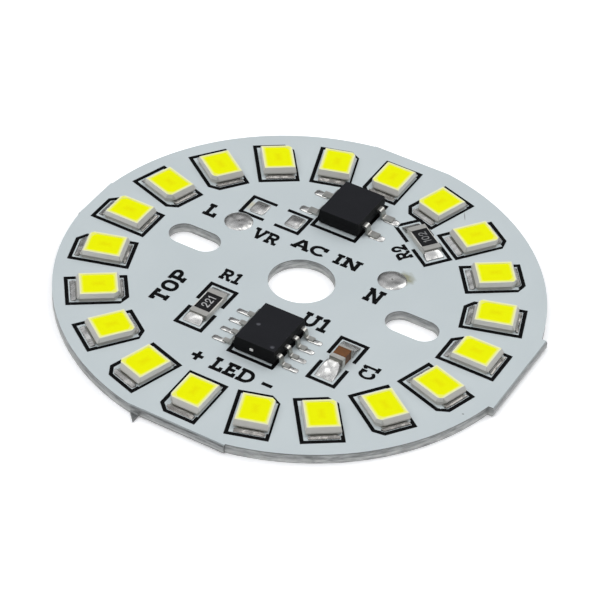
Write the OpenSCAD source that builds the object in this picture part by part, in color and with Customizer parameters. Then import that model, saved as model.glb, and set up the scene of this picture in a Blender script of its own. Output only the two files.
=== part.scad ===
// Round driver-on-board LED module: an aluminium circuit board with a ring of white LEDs,
// a linear driver, a bridge rectifier, two resistors, a capacitor and pads for two mains wires.
// Origin: axis of the centre hole, on the bare back face. +Z leaves the lit face and
// +X runs along the two screw slots, towards the widest break-off tab. All sizes in mm.

/* [Board] */
// Diameter of the round board
board_d = 40; // [38:0.5:46]
// Thickness of the aluminium plate
plate_t = 0.8; // [0.6:0.1:1.6]
// Thickness of the insulation, foil and white lacquer bonded on the plate
coat_t = 0.1; // [0.06:0.02:0.2]
// Diameter of the centre hole
centre_hole_d = 5.5; // [4:0.1:6.5]
// Length of each screw slot, end to end
slot_l = 4.6; // [3.6:0.1:5.6]
// Width of each screw slot
slot_w = 2.6; // [2.2:0.1:3.2]
// Land between a slot's outer end and the LED frames
slot_ring_gap = 1.12; // [0.6:0.01:2]
// How far the cut outline sits to the right of the centre hole
outline_dx = 0.1; // [-0.3:0.05:0.3]
// How far the cut outline sits in front of the centre hole
outline_dy = -0.37; // [-0.5:0.01:0.3]
// How far the printed pattern sits to the right of the centre hole
print_dx = 0; // [-0.3:0.05:0.3]
// How far the printed pattern sits in front of the centre hole
print_dy = -0.55; // [-0.6:0.05:0.3]

/* [Break-off tabs] */
// Width of the right tab
tab_right_w = 9.45; // [4:0.05:11]
// Shift of the right tab along its edge
tab_right_shift = 0; // [-1:0.1:1]
// Score line of the right tab beyond the round edge
score_right = -0.05; // [-0.3:0.05:0.4]
// Width of the rear tab
tab_rear_w = 7.1; // [4:0.1:11]
// Shift of the rear tab along its edge
tab_rear_shift = 0.25; // [-1:0.05:1]
// Score line of the rear tab beyond the round edge
score_rear = -0.15; // [-0.4:0.05:0.4]
// Width of the left tab
tab_left_w = 4.8; // [4:0.1:11]
// Shift of the left tab along its edge
tab_left_shift = -0.3; // [-1:0.1:1]
// Score line of the left tab beyond the round edge
score_left = 0.06; // [-0.3:0.02:0.4]
// Width of the front tab
tab_front_w = 7.6; // [4:0.1:11]
// Shift of the front tab along its edge
tab_front_shift = 0.8; // [-1:0.1:1]
// Score line of the front tab beyond the round edge
score_front = -0.3; // [-0.4:0.05:0.4]
// Depth of the score groove into each face
score_depth = 0.22; // [0.1:0.02:0.3]
// Set-back of the score groove's slope at the face
score_slope = 0.13; // [0.05:0.01:0.3]
// Length of the torn burr in front of the front tab
burr_l = 0.75; // [0.3:0.05:1.2]
// Width of the torn burr at its root
burr_w = 1.2; // [0.6:0.1:2]
// Thickness of the torn burr
burr_t = 0.3; // [0.15:0.05:0.5]

/* [LEDs] */
// Length of an LED housing, along the board's radius
led_l = 3.5; // [3:0.1:3.8]
// Width of an LED housing
led_w = 2.8; // [2.4:0.1:3]
// Height of an LED housing
led_h = 0.75; // [0.6:0.05:1.2]
// Slope of the housing's upper end walls, in degrees
led_end_draft = 27; // [5:1:30]
// Slope of the housing's upper side walls, in degrees
led_side_draft = 12; // [3:1:20]
// Height of the housing's parting line
led_parting_z = 0.34; // [0.25:0.01:0.45]
// Rim between the light window and the housing's end
led_end_rim = 0.22; // [0.15:0.01:0.4]
// Rim between the light window and the housing's side
led_side_rim = 0.23; // [0.15:0.01:0.4]
// Cut corner of the housing that marks the cathode
led_corner_cut = 0.6; // [0.2:0.05:0.8]
// Corner radius of the light window
led_window_r = 0.3; // [0.1:0.05:0.5]
// Cut corner of the light window, beside the housing's cut corner
led_window_cut = 0.4; // [0.1:0.05:0.6]
// Set-back of the housing's side walls under its parting line
led_side_relief = 0.07; // [0.02:0.01:0.15]
// Set-back of the housing's ends over its terminals
led_end_relief = 0.15; // [0.05:0.01:0.25]
// Height of that set-back above a terminal
led_relief_h = 0.07; // [0.03:0.01:0.1]
// Depth of the light well
led_well_depth = 0.4; // [0.2:0.05:0.5]
// Dip of the phosphor's face below the housing's rim
led_phosphor_dip = 0.02; // [0.01:0.01:0.08]
// Width of an LED terminal
led_terminal_w = 2.1; // [1.6:0.1:2.4]
// Width of the soldered land under an LED terminal
led_land_w = 2.5; // [2.2:0.1:2.7]
// Thickness of an LED terminal
led_terminal_t = 0.15; // [0.1:0.01:0.2]
// How far a terminal stands out of the housing
led_terminal_out = 0.1; // [0.05:0.01:0.2]
// Gap between an LED's two terminals
led_terminal_gap = 0.8; // [0.5:0.1:1.4]
// Length of the solder fillet in front of a terminal
led_fillet_l = 0.3; // [0.2:0.05:0.5]
// Land between an LED's solder and its printed frame
led_frame_end_gap = 0.1; // [0.05:0.01:0.3]
// Land between an LED's side and its printed frame
led_frame_side_gap = 0.04; // [0.03:0.01:0.15]
// Cut corner of the printed frame that marks the cathode
led_frame_cut = 0.75; // [0.4:0.05:1]
// Land between the LED frames and the board's edge
led_rim_gap = 1.32; // [0.8:0.01:1.6]

/* [Driver] */
// Width of the driver's body across its leads
driver_w = 3.7; // [3.4:0.1:4.1]
// Length of the driver's body along its leads
driver_l = 4.9; // [4.7:0.1:5.3]
// Height of the driver's body
driver_h = 1.3; // [1.1:0.05:1.6]
// Land between the driver and the centre hole
driver_hole_gap = 2.6; // [1.5:0.1:3]
// Shift of the driver to the right of the centre line
driver_dx = 1.5; // [0.5:0.05:2]
// Spacing of the driver's leads
driver_pitch = 1.27; // [1.1:0.01:1.3]
// Width of a driver lead
driver_lead_w = 0.42; // [0.3:0.02:0.5]
// Length of a driver lead's flat foot
driver_foot_l = 0.55; // [0.3:0.05:0.9]
// Solder in front of a driver lead's toe
driver_toe_solder = 0.88; // [0.4:0.01:1]
// Diameter of the mould's two dots on the driver's top
driver_dot_d = 0.35; // [0.2:0.05:0.6]
// Distance of the left dot from the body's left side
driver_dot_left = 0.9; // [0.6:0.05:1.2]
// Distance of the left dot from the body's rear end
driver_dot_rear = 2.6; // [0.8:0.1:3]
// Distance of the right dot from the body's right side and front end
driver_dot_corner = 0.5; // [0.45:0.05:1]
// Width of the cut tie bar that shows in the driver's ends
driver_tie_w = 0.3; // [0.15:0.05:0.4]
// How far the tie bars sit to the left of the driver's middle
driver_tie_left = 0.2; // [0:0.05:0.5]

/* [Rectifier] */
// Width of the rectifier's body across its leads
rectifier_w = 3.8; // [3.5:0.1:4.2]
// Length of the rectifier's body along its leads
rectifier_l = 4.7; // [4.3:0.1:5.2]
// Height of the rectifier's body
rectifier_h = 1.3; // [1.1:0.05:1.6]
// Land between the rectifier's outline and the LED frames
rectifier_ring_gap = 0.42; // [0.3:0.02:1]
// Shift of the rectifier to the right of the centre line
rectifier_dx = -0.75; // [-1.5:0.05:-0.5]
// Spacing of the rectifier's leads
rectifier_pitch = 2.54; // [2:0.01:2.8]
// Width of a rectifier lead
rectifier_lead_w = 0.65; // [0.5:0.05:0.8]
// Length of a rectifier lead's flat foot
rectifier_foot_l = 0.8; // [0.4:0.05:1]
// Solder in front of a rectifier lead's toe
rectifier_toe_solder = 0.7; // [0.3:0.05:0.8]

/* [Leads of both packages] */
// Thickness of the lead frame
lead_t = 0.2; // [0.12:0.01:0.25]
// Inner radius of a lead's bends
lead_bend_r = 0.1; // [0.06:0.01:0.14]
// Slope of a lead's leg, in degrees
lead_slope = 76; // [60:1:85]
// Level stretch of a lead outside the body
lead_shoulder = 0.14; // [0.04:0.01:0.2]
// How far a lead is anchored in the body
lead_anchor = 0.5; // [0.3:0.05:0.8]
// Draft of the moulded bodies' walls, in degrees
mould_draft = 7; // [3:0.5:10]
// Air under the moulded bodies
body_standoff = 0.12; // [0.08:0.01:0.2]
// Solder beside a lead's foot
lead_side_solder = 0.06; // [0.03:0.01:0.2]
// Height of the solder under a lead's toe
lead_solder_h = 0.16; // [0.1:0.01:0.24]

/* [Resistors] */
// Length of a chip resistor
resistor_l = 3.2; // [2.8:0.1:3.6]
// Width of a chip resistor
resistor_w = 1.6; // [1.3:0.1:1.8]
// Height of a chip resistor
resistor_h = 0.55; // [0.4:0.05:0.8]
// Length of a resistor's end cap on its faces
resistor_cap_l = 0.55; // [0.4:0.05:0.75]
// Bare ceramic beside the black overcoat
resistor_bare_w = 0.1; // [0.05:0.01:0.25]
// Thickness of the black overcoat
resistor_overcoat_t = 0.06; // [0.05:0.01:0.1]
// Length of the solder in front of a resistor's end
resistor_fillet_l = 0.77; // [0.4:0.01:0.9]
// Angle round the ring at which the second resistor sits
resistor_2_angle = 60; // [58:0.5:62]
// Distance of the second resistor's centre from the LED frames
resistor_2_ring_gap = 1.47; // [1.4:0.01:2]
// Turn of the second resistor on the board
resistor_2_turn = -36; // [-40:1:-32]
// How far the second resistor slid along its lands, towards the rear
resistor_2_slip = 0.08; // [-0.2:0.02:0.2]

/* [Capacitor] */
// Length of the chip capacitor
capacitor_l = 1.6; // [1.4:0.1:2.2]
// Width of the chip capacitor
capacitor_w = 1.2; // [1:0.05:1.5]
// Height of the chip capacitor
capacitor_h = 0.95; // [0.7:0.05:1.25]
// Length of the capacitor's front end cap
capacitor_cap_l = 0.42; // [0.25:0.01:0.6]
// Length of the capacitor's rear end cap
capacitor_rear_cap_l = 0.18; // [0.12:0.01:0.6]
// Length of the solder in front of the capacitor's end
capacitor_fillet_l = 1.55; // [0.6:0.05:1.6]
// How far the capacitor sits behind the middle of its lands
capacitor_shift = 0.12; // [-0.2:0.02:0.2]
// Width of the lands under the capacitor and the resistors
chip_land_w = 1.6; // [1.3:0.05:1.8]
// Thickness of the plated end caps
cap_t = 0.04; // [0.02:0.01:0.06]
// Share of a chip's height that its solder climbs
fillet_climb = 0.7; // [0.4:0.05:0.9]
// Land between the driver's solder and the capacitor's printed bracket
capacitor_gap = 0.69; // [0.5:0.01:1.2]
// Land between the driver's solder and the first resistor's printed bracket
resistor_1_gap = 0.92; // [0.5:0.01:1.4]
// How far the chips beside the driver sit behind its middle
chip_rise = 0.85; // [0:0.05:1]

/* [Wire and varistor pads] */
// Diameter of the tinned pads for the supply wires
wire_pad_d = 2.4; // [1.8:0.1:2.6]
// Height of the solder on a wire pad
wire_pad_h = 0.2; // [0.1:0.02:0.4]
// Diameter of the dent in a wire pad's solder
wire_dent_d = 0.7; // [0.3:0.1:1]
// Depth of that dent
wire_dent_depth = 0.06; // [0.02:0.01:0.09]
// Land between the live wire's pad and the varistor's bracket
line_pad_gap = 0; // [0:0.01:0.5]
// How far the live wire's pad sits left of the varistor's middle
line_pad_left = 2.28; // [1.5:0.01:2.8]
// Land between the neutral wire's pad and the centre hole
neutral_pad_gap = 3.43; // [2.5:0.01:4]
// Direction of the neutral wire's pad from the centre hole
neutral_pad_angle = 34; // [30:1:40]
// Length of a varistor pad
varistor_pad_l = 1.35; // [1:0.05:1.6]
// Width of a varistor pad
varistor_pad_w = 1.6; // [1.4:0.05:2]
// Height of the solder on a varistor pad
varistor_pad_h = 0.22; // [0.12:0.02:0.4]
// Spacing of the two varistor pads
varistor_pitch = 3.35; // [2.8:0.05:3.6]
// Land between the varistor's bracket and the rectifier's solder
varistor_rear_gap = 0.37; // [0.1:0.01:0.6]
// Land between the varistor's bracket and the rectifier's body
varistor_side_gap = 0.38; // [0.3:0.01:1]

/* [Print] */
// Thickness of the printed ink
ink_t = 0.03; // [0.02:0.01:0.05]
// Width of the printed lines
ink_line = 0.31; // [0.2:0.01:0.35]
// How far the ink and the soldered lands sit to the right of the parts
ink_dx = -0.14; // [-0.2:0.01:0.2]
// How far the ink and the soldered lands sit behind the parts
ink_dy = -0.06; // [-0.1:0.01:0.1]
// Clear land that the print leaves round a solder pad
ink_pad_gap = 0.06; // [0.04:0.01:0.2]
// Land between a chip's solder and its bracket's ends
bracket_end_gap = 0.23; // [0.1:0.01:0.4]
// Land between a chip's solder and its bracket's sides
bracket_side_gap = 0.2; // [0.1:0.01:0.4]
// Opening in the middle of a bracket's sides
bracket_opening = 1.05; // [0.6:0.05:1.6]
// How far a package's printed outline runs outside its sides
outline_side = 0.1; // [0.05:0.01:0.2]
// How far the rectifier's printed outline runs outside its ends
outline_end = 0.42; // [0.15:0.01:0.5]
// How far the driver's printed outline runs outside its ends
driver_outline_end = 0.2; // [0.15:0.01:0.5]

/* [Hidden] */
$fn = 64;
led_count = 20;
slack = 0.5;                        // overrun of a cutting shape past the face that it opens
solder_edge_t = 0.03;               // tinning left at the very edge of a solder pad
curve_steps = 6;                    // straight steps in a drawn bend or fillet
led_lower_draft = 3;                // slope of an LED housing's walls below its parting line
tie_stub = 0.05;                    // what the cutter left of a tie bar outside the body
well_floor_min = 0.06;              // plastic left between the light well and the terminals

board_r = board_d / 2;
ink_shift = [ink_dx, ink_dy, 0];
top_z = plate_t + coat_t;
led_land_l = led_l + 2 * (led_terminal_out + led_fillet_l);
led_frame_l = led_land_l + 2 * (led_frame_end_gap + ink_line);
led_frame_w = led_w + 2 * (led_frame_side_gap + ink_line);
led_ring_r = board_r - led_rim_gap - led_frame_l / 2;
ring_inner_r = led_ring_r - led_frame_l / 2;
led_top_l = led_l - 2 * (led_h - led_parting_z) * tan(led_end_draft);
led_top_w = led_w - 2 * (led_h - led_parting_z) * tan(led_side_draft);
led_well_z = max(led_h - led_well_depth, led_terminal_t + well_floor_min);
slot_x = ring_inner_r - slot_ring_gap - slot_l / 2;

// Angle, width, shift along the edge and score offset of the four tabs
tabs = [[0, tab_right_w, tab_right_shift, score_right], [90, tab_rear_w, tab_rear_shift, score_rear],
        [180, tab_left_w, tab_left_shift, score_left], [270, tab_front_w, tab_front_shift, score_front]];

// A lead bends twice on its way down: sideways run and heights of its centre line
lead_mid_r = lead_bend_r + lead_t / 2;
function lead_exit_z(body_h) = body_standoff + body_h / 2;
function leg_l(body_h) = (lead_exit_z(body_h) - lead_t / 2 - 2 * lead_mid_r * (1 - cos(lead_slope)))
    / sin(lead_slope);
function lead_run(body_h) = 2 * lead_mid_r * sin(lead_slope) + leg_l(body_h) * cos(lead_slope);
function heel_x(body_w, body_h) = body_w / 2 + lead_shoulder + lead_run(body_h);
function toe_x(body_w, body_h, foot_l) = heel_x(body_w, body_h) + foot_l;

driver_toe_x = toe_x(driver_w, driver_h, driver_foot_l);
driver_reach = driver_toe_x + driver_toe_solder;
driver_y = -(centre_hole_d / 2 + driver_hole_gap + driver_l / 2) - print_dy;
driver_leads_y = [for (i = [-1.5 : 1 : 1.5]) i * driver_pitch];
driver_parting_z = body_standoff + driver_h / 2;

rectifier_y = ring_inner_r - rectifier_ring_gap - ink_line / 2 - outline_end - rectifier_l / 2;
rectifier_toe_x = toe_x(rectifier_w, rectifier_h, rectifier_foot_l);
rectifier_reach = rectifier_toe_x + rectifier_toe_solder;
rectifier_leads_y = [-rectifier_pitch / 2, rectifier_pitch / 2];

driver_solder_w = driver_lead_w + 2 * lead_side_solder;
rectifier_solder_w = rectifier_lead_w + 2 * lead_side_solder;

resistor_land_l = resistor_l + 2 * resistor_fillet_l;
capacitor_land_l = capacitor_l + 2 * capacitor_fillet_l;
bracket_w = chip_land_w + 2 * (bracket_side_gap + ink_line);
chip_y = driver_y + chip_rise;
chip_offset = driver_reach + bracket_w / 2;
resistor_1_place = [driver_dx - chip_offset - resistor_1_gap, chip_y];
capacitor_place = [driver_dx + chip_offset + capacitor_gap, chip_y];
resistor_2_r = ring_inner_r - resistor_2_ring_gap;
resistor_2_place = resistor_2_r * [cos(resistor_2_angle), sin(resistor_2_angle)];

varistor_bracket_l = varistor_pitch + varistor_pad_l + 2 * (bracket_end_gap + ink_line);
varistor_bracket_w = varistor_pad_w + 2 * (bracket_side_gap + ink_line);
varistor_x = rectifier_dx - rectifier_w / 2 - varistor_side_gap - varistor_bracket_l / 2;
varistor_y = rectifier_y - rectifier_pitch / 2 - rectifier_solder_w / 2 - varistor_rear_gap
    - varistor_bracket_w / 2;
line_pad_place = [varistor_x - line_pad_left,
                  varistor_y - varistor_bracket_w / 2 - line_pad_gap - wire_pad_d / 2];
neutral_pad_r = centre_hole_d / 2 + neutral_pad_gap + wire_pad_d / 2;
neutral_pad_place = neutral_pad_r * [cos(neutral_pad_angle), sin(neutral_pad_angle)] - [print_dx, print_dy];

function numbered(name, k) = str(name, k < 10 ? "_0" : "_", k);

aluminium_grey = "#A9ADAF";
lacquer_white = "#C6CED1";
ink_black = "#141416";
housing_white = "#BDBBB2";
phosphor_yellow = "#EEF200";
tin_silver = "#C9C9C6";
solder_silver = "#D6D6D4";
mould_black = "#2A2A2E";
ceramic_white = "#D9D8D2";
overcoat_black = "#1E1E20";
dielectric_brown = "#7C4C2E";

// Places

// The face that carries the print and the parts
module on_print() {
    translate([print_dx, print_dy, top_z]) children();
}

// One LED's place; the LEDs are wired in pairs that face in and out by turns
module at_led(k) {
    facing = floor((k - 1) / 2) % 2 == 0 ? 0 : 180;
    rotate((k - 1) * 360 / led_count) translate([led_ring_r, 0]) rotate(facing) children();
}

// Both ends of a package or chip, along its X
module both_ends() {
    for (turn = [0, 180]) rotate(turn) children();
}

module at_driver() { translate([driver_dx, driver_y]) children(); }
module at_rectifier() { translate([rectifier_dx, rectifier_y]) children(); }
module at_resistor_1() { translate(resistor_1_place) rotate(90) children(); }
module at_resistor_2_lands() { translate(resistor_2_place) rotate(resistor_2_turn) children(); }
module at_resistor_2() { at_resistor_2_lands() translate([-resistor_2_slip, 0]) children(); }
module at_capacitor() { translate(capacitor_place) rotate(90) children(); }
module at_varistor() { translate([varistor_x, varistor_y]) children(); }

// Shared shapes

module rounded_rect(l, w, r) {
    square([l - 2 * r, w], center = true);
    square([l, w - 2 * r], center = true);
    for (x = [-1, 1], y = [-1, 1]) translate([x * (l / 2 - r), y * (w / 2 - r)]) circle(r);
}

// Side view of a moulded block that is widest at its parting line
module drafted_profile(l, h, parting_z, upper_draft, lower_draft) {
    low = l / 2 - parting_z * tan(lower_draft);
    high = l / 2 - (h - parting_z) * tan(upper_draft);
    polygon([[-low, 0], [low, 0], [l / 2, parting_z], [high, h], [-high, h], [-l / 2, parting_z]]);
}

module drafted_block(l, w, h, parting_z, end_draft, side_draft, lower_draft) {
    intersection() {
        rotate([90, 0, 0]) linear_extrude(w, center = true)
            drafted_profile(l, h, parting_z, end_draft, lower_draft);
        rotate([90, 0, 90]) linear_extrude(l, center = true)
            drafted_profile(w, h, parting_z, side_draft, lower_draft);
    }
}

module moulded_block(w, l, h) {
    translate([0, 0, body_standoff]) drafted_block(w, l, h, h / 2, mould_draft, mould_draft, mould_draft);
}

function arc(centre, r, from, to) = [for (i = [0 : curve_steps])
    centre + r * [cos(from + (to - from) * i / curve_steps), sin(from + (to - from) * i / curve_steps)]];

// Side view of a gull-wing lead: anchor in the body, shoulder, sloping leg and flat foot
module lead_profile(body_w, body_h, foot_l) {
    exit_z = lead_exit_z(body_h);
    upper = [body_w / 2 + lead_shoulder, exit_z - lead_mid_r];
    lower = [heel_x(body_w, body_h), lead_t / 2 + lead_mid_r];
    outside = lead_bend_r + lead_t;
    anchor_x = body_w / 2 - lead_anchor;
    toe = toe_x(body_w, body_h, foot_l);
    polygon(concat(
        [[anchor_x, exit_z + lead_t / 2]],
        arc(upper, outside, 90, 90 - lead_slope),
        arc(lower, lead_bend_r, 270 - lead_slope, 270),
        [[toe, lead_t], [toe, 0]],
        arc(lower, outside, 270, 270 - lead_slope),
        arc(upper, lead_bend_r, 90 - lead_slope, 90),
        [[anchor_x, exit_z - lead_t / 2]]));
}

module lead_row(body_w, body_h, foot_l, lead_w, rows) {
    both_ends() for (y = rows) translate([0, y, 0])
        rotate([90, 0, 0]) linear_extrude(lead_w, center = true) lead_profile(body_w, body_h, foot_l);
}

// A rounded cushion of solder, arched along and across
module pillow(l, w, h, corner_r) {
    rise = h - solder_edge_t;
    along_r = (l * l / 4 + rise * rise) / (2 * rise);
    across_r = (w * w / 4 + rise * rise) / (2 * rise);
    intersection() {
        linear_extrude(h) rounded_rect(l, w, corner_r);
        translate([0, 0, h - along_r]) rotate([90, 0, 0]) cylinder(h = 2 * w, r = along_r, center = true);
        translate([0, 0, h - across_r]) rotate([0, 90, 0]) cylinder(h = 2 * l, r = across_r, center = true);
    }
}

// Solder that runs down from an end face at x = 0 to a thin edge at x = l
module end_fillet(l, w, h) {
    climb = [for (i = [0 : curve_steps]) let (x = i / curve_steps)
        [x * l, solder_edge_t + (h - solder_edge_t) * pow(1 - x, 1.4)]];
    rotate([90, 0, 0]) linear_extrude(w, center = true) polygon(concat([[0, 0]], climb, [[l, 0]]));
}

// Board

module board_outline() {
    left = board_r + score_left;
    front = board_r + score_front;
    intersection() {
        union() {
            circle(board_r, $fn = 180);
            for (tab = tabs) rotate(tab[0]) translate([0, tab[2] - tab[1] / 2])
                square([board_r + tab[3], tab[1]]);
        }
        translate([-left, -front]) square([left + board_r + score_right, front + board_r + score_rear]);
    }
}

module punched_holes() {
    translate([0, 0, -slack]) cylinder(h = top_z + 2 * slack, d = centre_hole_d);
    both_ends() translate([slot_x, 0, -slack]) {
        for (x = [-1, 1]) translate([x * (slot_l - slot_w) / 2, 0])
            cylinder(h = top_z + 2 * slack, d = slot_w);
        translate([(slot_w - slot_l) / 2, -slot_w / 2])
            cube([slot_l - slot_w, slot_w, top_z + 2 * slack]);
    }
}

// The slopes that the score wheel leaves along the upper and lower edge of each tab
module score_slopes() {
    translate([outline_dx, outline_dy, 0]) for (tab = tabs) rotate(tab[0]) {
        edge = board_r + tab[3];
        tip = edge + score_slope;
        rotate([90, 0, 0]) linear_extrude(board_d, center = true) {
            polygon([[edge - 2 * score_slope, top_z + score_depth], [tip, top_z + score_depth],
                     [tip, top_z - 2 * score_depth]]);
            polygon([[edge - 2 * score_slope, -score_depth], [tip, 2 * score_depth], [tip, -score_depth]]);
        }
    }
}

// The sliver that tore instead of snapping when the board left its panel
module torn_burr() {
    root_x = tab_front_shift - tab_front_w / 2;
    edge_y = -(board_r + score_front);
    translate([outline_dx, outline_dy, 0]) linear_extrude(burr_t)
        polygon([[root_x - burr_w, edge_y + slack], [root_x, edge_y + slack], [root_x, edge_y - burr_l]]);
}

module base_plate() {
    color(aluminium_grey) union() {
        difference() {
            translate([outline_dx, outline_dy, 0]) linear_extrude(plate_t) board_outline();
            punched_holes();
            score_slopes();
        }
        torn_burr();
    }
}

module white_coat() {
    color(lacquer_white) difference() {
        translate([outline_dx, outline_dy, plate_t]) linear_extrude(coat_t) board_outline();
        punched_holes();
        score_slopes();
    }
}

// Print

module cut_rect(l, w, cut) {
    polygon([[-l / 2, -w / 2], [l / 2, -w / 2], [l / 2, w / 2], [cut - l / 2, w / 2],
             [-l / 2, w / 2 - cut]]);
}

// The field inside an LED's frame, drawn in from the ink by a margin
module led_field(margin) {
    inset = ink_line + margin;
    cut_rect(led_frame_l - 2 * inset, led_frame_w - 2 * inset, led_frame_cut - inset * (2 - sqrt(2)));
}

module led_frame() {
    difference() {
        cut_rect(led_frame_l, led_frame_w, led_frame_cut);
        led_field(0);
    }
}

module ring_rect(l, w) {
    difference() {
        square([l + ink_line, w + ink_line], center = true);
        square([l - ink_line, w - ink_line], center = true);
    }
}

module bracket(l, w) {
    difference() {
        ring_rect(l - ink_line, w - ink_line);
        square([bracket_opening, w + slack], center = true);
    }
}

module chip_bracket(land_l) {
    bracket(land_l + 2 * (bracket_end_gap + ink_line), bracket_w);
}

module package_outline(w, l, end) {
    ring_rect(w + 2 * outline_side, l + 2 * end);
}

// Lands of one row of leads, and of a chip
module lead_lands(toe, toe_solder, solder_w, rows) {
    both_ends() for (y = rows) translate([toe, y - solder_w / 2 - ink_pad_gap])
        square([toe_solder + ink_pad_gap, solder_w + 2 * ink_pad_gap]);
}

module chip_land(land_l, margin) {
    square([land_l + 2 * margin, chip_land_w + 2 * margin], center = true);
}

// The board under a chip, and a hair round it
module chip_foot(l, w) {
    square([l + ink_pad_gap, w + ink_pad_gap], center = true);
}

// What the print keeps off: every soldered land and every part that stands on the board
module bare_lands() {
    translate(ink_shift) {
        at_driver() lead_lands(driver_toe_x, driver_toe_solder, driver_solder_w, driver_leads_y);
        at_rectifier() lead_lands(rectifier_toe_x, rectifier_toe_solder, rectifier_solder_w,
            rectifier_leads_y);
        at_resistor_1() chip_land(resistor_land_l, ink_pad_gap);
        at_resistor_2_lands() chip_land(resistor_land_l, ink_pad_gap);
        at_capacitor() chip_land(capacitor_land_l, ink_pad_gap);
        for (k = [1 : led_count]) at_led(k) led_field(ink_pad_gap / 2);
    }
    for (place = [line_pad_place, neutral_pad_place]) translate(place)
        circle(d = wire_pad_d + 2 * ink_pad_gap);
    for (k = [1 : led_count]) at_led(k) {
        chip_foot(led_l, led_w);
        chip_foot(led_l + 2 * led_terminal_out, led_terminal_w);
    }
    at_resistor_1() chip_foot(resistor_l, resistor_w);
    at_resistor_2() chip_foot(resistor_l, resistor_w);
    at_capacitor() translate([capacitor_shift, 0]) chip_foot(capacitor_l, capacitor_w);
    at_varistor() both_ends() translate([varistor_pitch / 2, 0]) chip_foot(varistor_pad_l, varistor_pad_w);
}

module printed_lines() {
    for (k = [1 : led_count]) at_led(k) led_frame();
    at_driver() package_outline(driver_w, driver_l, driver_outline_end);
    at_rectifier() package_outline(rectifier_w, rectifier_l, outline_end);
    at_resistor_1() chip_bracket(resistor_land_l);
    at_resistor_2_lands() chip_bracket(resistor_land_l);
    at_capacitor() chip_bracket(capacitor_land_l);
    at_varistor() bracket(varistor_bracket_l, varistor_bracket_w);
}

module legend_ink() {
    color(ink_black) on_print() linear_extrude(ink_t) difference() {
        translate(ink_shift) printed_lines();
        bare_lands();
    }
}

// LEDs

module terminal_pair() {
    both_ends() translate([led_terminal_gap / 2, -led_terminal_w / 2, 0])
        cube([led_l / 2 + led_terminal_out - led_terminal_gap / 2, led_terminal_w, led_terminal_t]);
}

module light_window() {
    l = led_top_l - 2 * led_end_rim;
    w = led_top_w - 2 * led_side_rim;
    intersection() {
        rounded_rect(l, w, led_window_r);
        cut_rect(l + slack, w + slack, led_window_cut + slack);
    }
}

// The air under the parting line's lip, and over the terminals at the housing's ends
module led_relief() {
    both_ends() {
        translate([led_l / 2 - led_end_relief, -led_w, -slack])
            cube([slack, 2 * led_w, slack + led_terminal_t + led_relief_h]);
        translate([-led_l, led_w / 2 - led_side_relief, -slack])
            cube([2 * led_l, slack, slack + led_parting_z]);
    }
}

module led_housing(k) {
    color(housing_white) on_print() at_led(k) difference() {
        intersection() {
            drafted_block(led_l, led_w, led_h, led_parting_z, led_end_draft, led_side_draft,
                led_lower_draft);
            linear_extrude(led_h) cut_rect(led_l, led_w, led_corner_cut);
        }
        translate([0, 0, led_well_z]) linear_extrude(led_h) light_window();
        led_relief();
        terminal_pair();
    }
}

module led_phosphor(k) {
    color(phosphor_yellow) on_print() at_led(k) translate([0, 0, led_well_z])
        linear_extrude(led_h - led_phosphor_dip - led_well_z) light_window();
}

module led_terminals() {
    color(tin_silver) on_print() for (k = [1 : led_count]) at_led(k) terminal_pair();
}

// Driver and rectifier

module tie_bars() {
    for (end = [-1, 1]) translate([-driver_tie_left, end * (driver_l - lead_anchor + tie_stub) / 2,
        driver_parting_z]) cube([driver_tie_w, lead_anchor + tie_stub, lead_t], center = true);
}

module driver_body() {
    left_dot = [driver_dot_left - driver_w / 2, driver_l / 2 - driver_dot_rear];
    right_dot = [driver_w / 2 - driver_dot_corner, driver_dot_corner - driver_l / 2];
    color(mould_black) on_print() at_driver() difference() {
        moulded_block(driver_w, driver_l, driver_h);
        lead_row(driver_w, driver_h, driver_foot_l, driver_lead_w, driver_leads_y);
        tie_bars();
        for (dot = [left_dot, right_dot])
            translate([dot[0], dot[1], body_standoff + driver_h - driver_dot_d / 8])
                cylinder(h = driver_dot_d, d = driver_dot_d);
    }
}

module driver_leads() {
    color(tin_silver) on_print() at_driver() {
        lead_row(driver_w, driver_h, driver_foot_l, driver_lead_w, driver_leads_y);
        tie_bars();
    }
}

module rectifier_body() {
    color(mould_black) on_print() at_rectifier() difference() {
        moulded_block(rectifier_w, rectifier_l, rectifier_h);
        lead_row(rectifier_w, rectifier_h, rectifier_foot_l, rectifier_lead_w, rectifier_leads_y);
    }
}

module rectifier_leads() {
    color(tin_silver) on_print() at_rectifier()
        lead_row(rectifier_w, rectifier_h, rectifier_foot_l, rectifier_lead_w, rectifier_leads_y);
}

// Chips: a block with plated caps round its ends

module resistor_ceramic_block() {
    translate([cap_t - resistor_l / 2, -resistor_w / 2, cap_t])
        cube([resistor_l - 2 * cap_t, resistor_w, resistor_h - 2 * cap_t]);
}

module resistor_caps() {
    color(tin_silver) difference() {
        both_ends() translate([resistor_l / 2 - resistor_cap_l, -resistor_w / 2, 0])
            cube([resistor_cap_l, resistor_w, resistor_h]);
        resistor_ceramic_block();
    }
}

module resistor_overcoat() {
    coat_l = resistor_l - 2 * resistor_cap_l;
    coat_w = resistor_w - 2 * resistor_bare_w;
    color(overcoat_black) translate([-coat_l / 2, -coat_w / 2, resistor_h - cap_t])
        cube([coat_l, coat_w, resistor_overcoat_t]);
}

module resistor_1_ceramic() { color(ceramic_white) on_print() at_resistor_1() resistor_ceramic_block(); }
module resistor_1_caps() { on_print() at_resistor_1() resistor_caps(); }
module resistor_1_overcoat() { on_print() at_resistor_1() resistor_overcoat(); }
module resistor_2_ceramic() { color(ceramic_white) on_print() at_resistor_2() resistor_ceramic_block(); }
module resistor_2_caps() { on_print() at_resistor_2() resistor_caps(); }
module resistor_2_overcoat() { on_print() at_resistor_2() resistor_overcoat(); }

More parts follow.
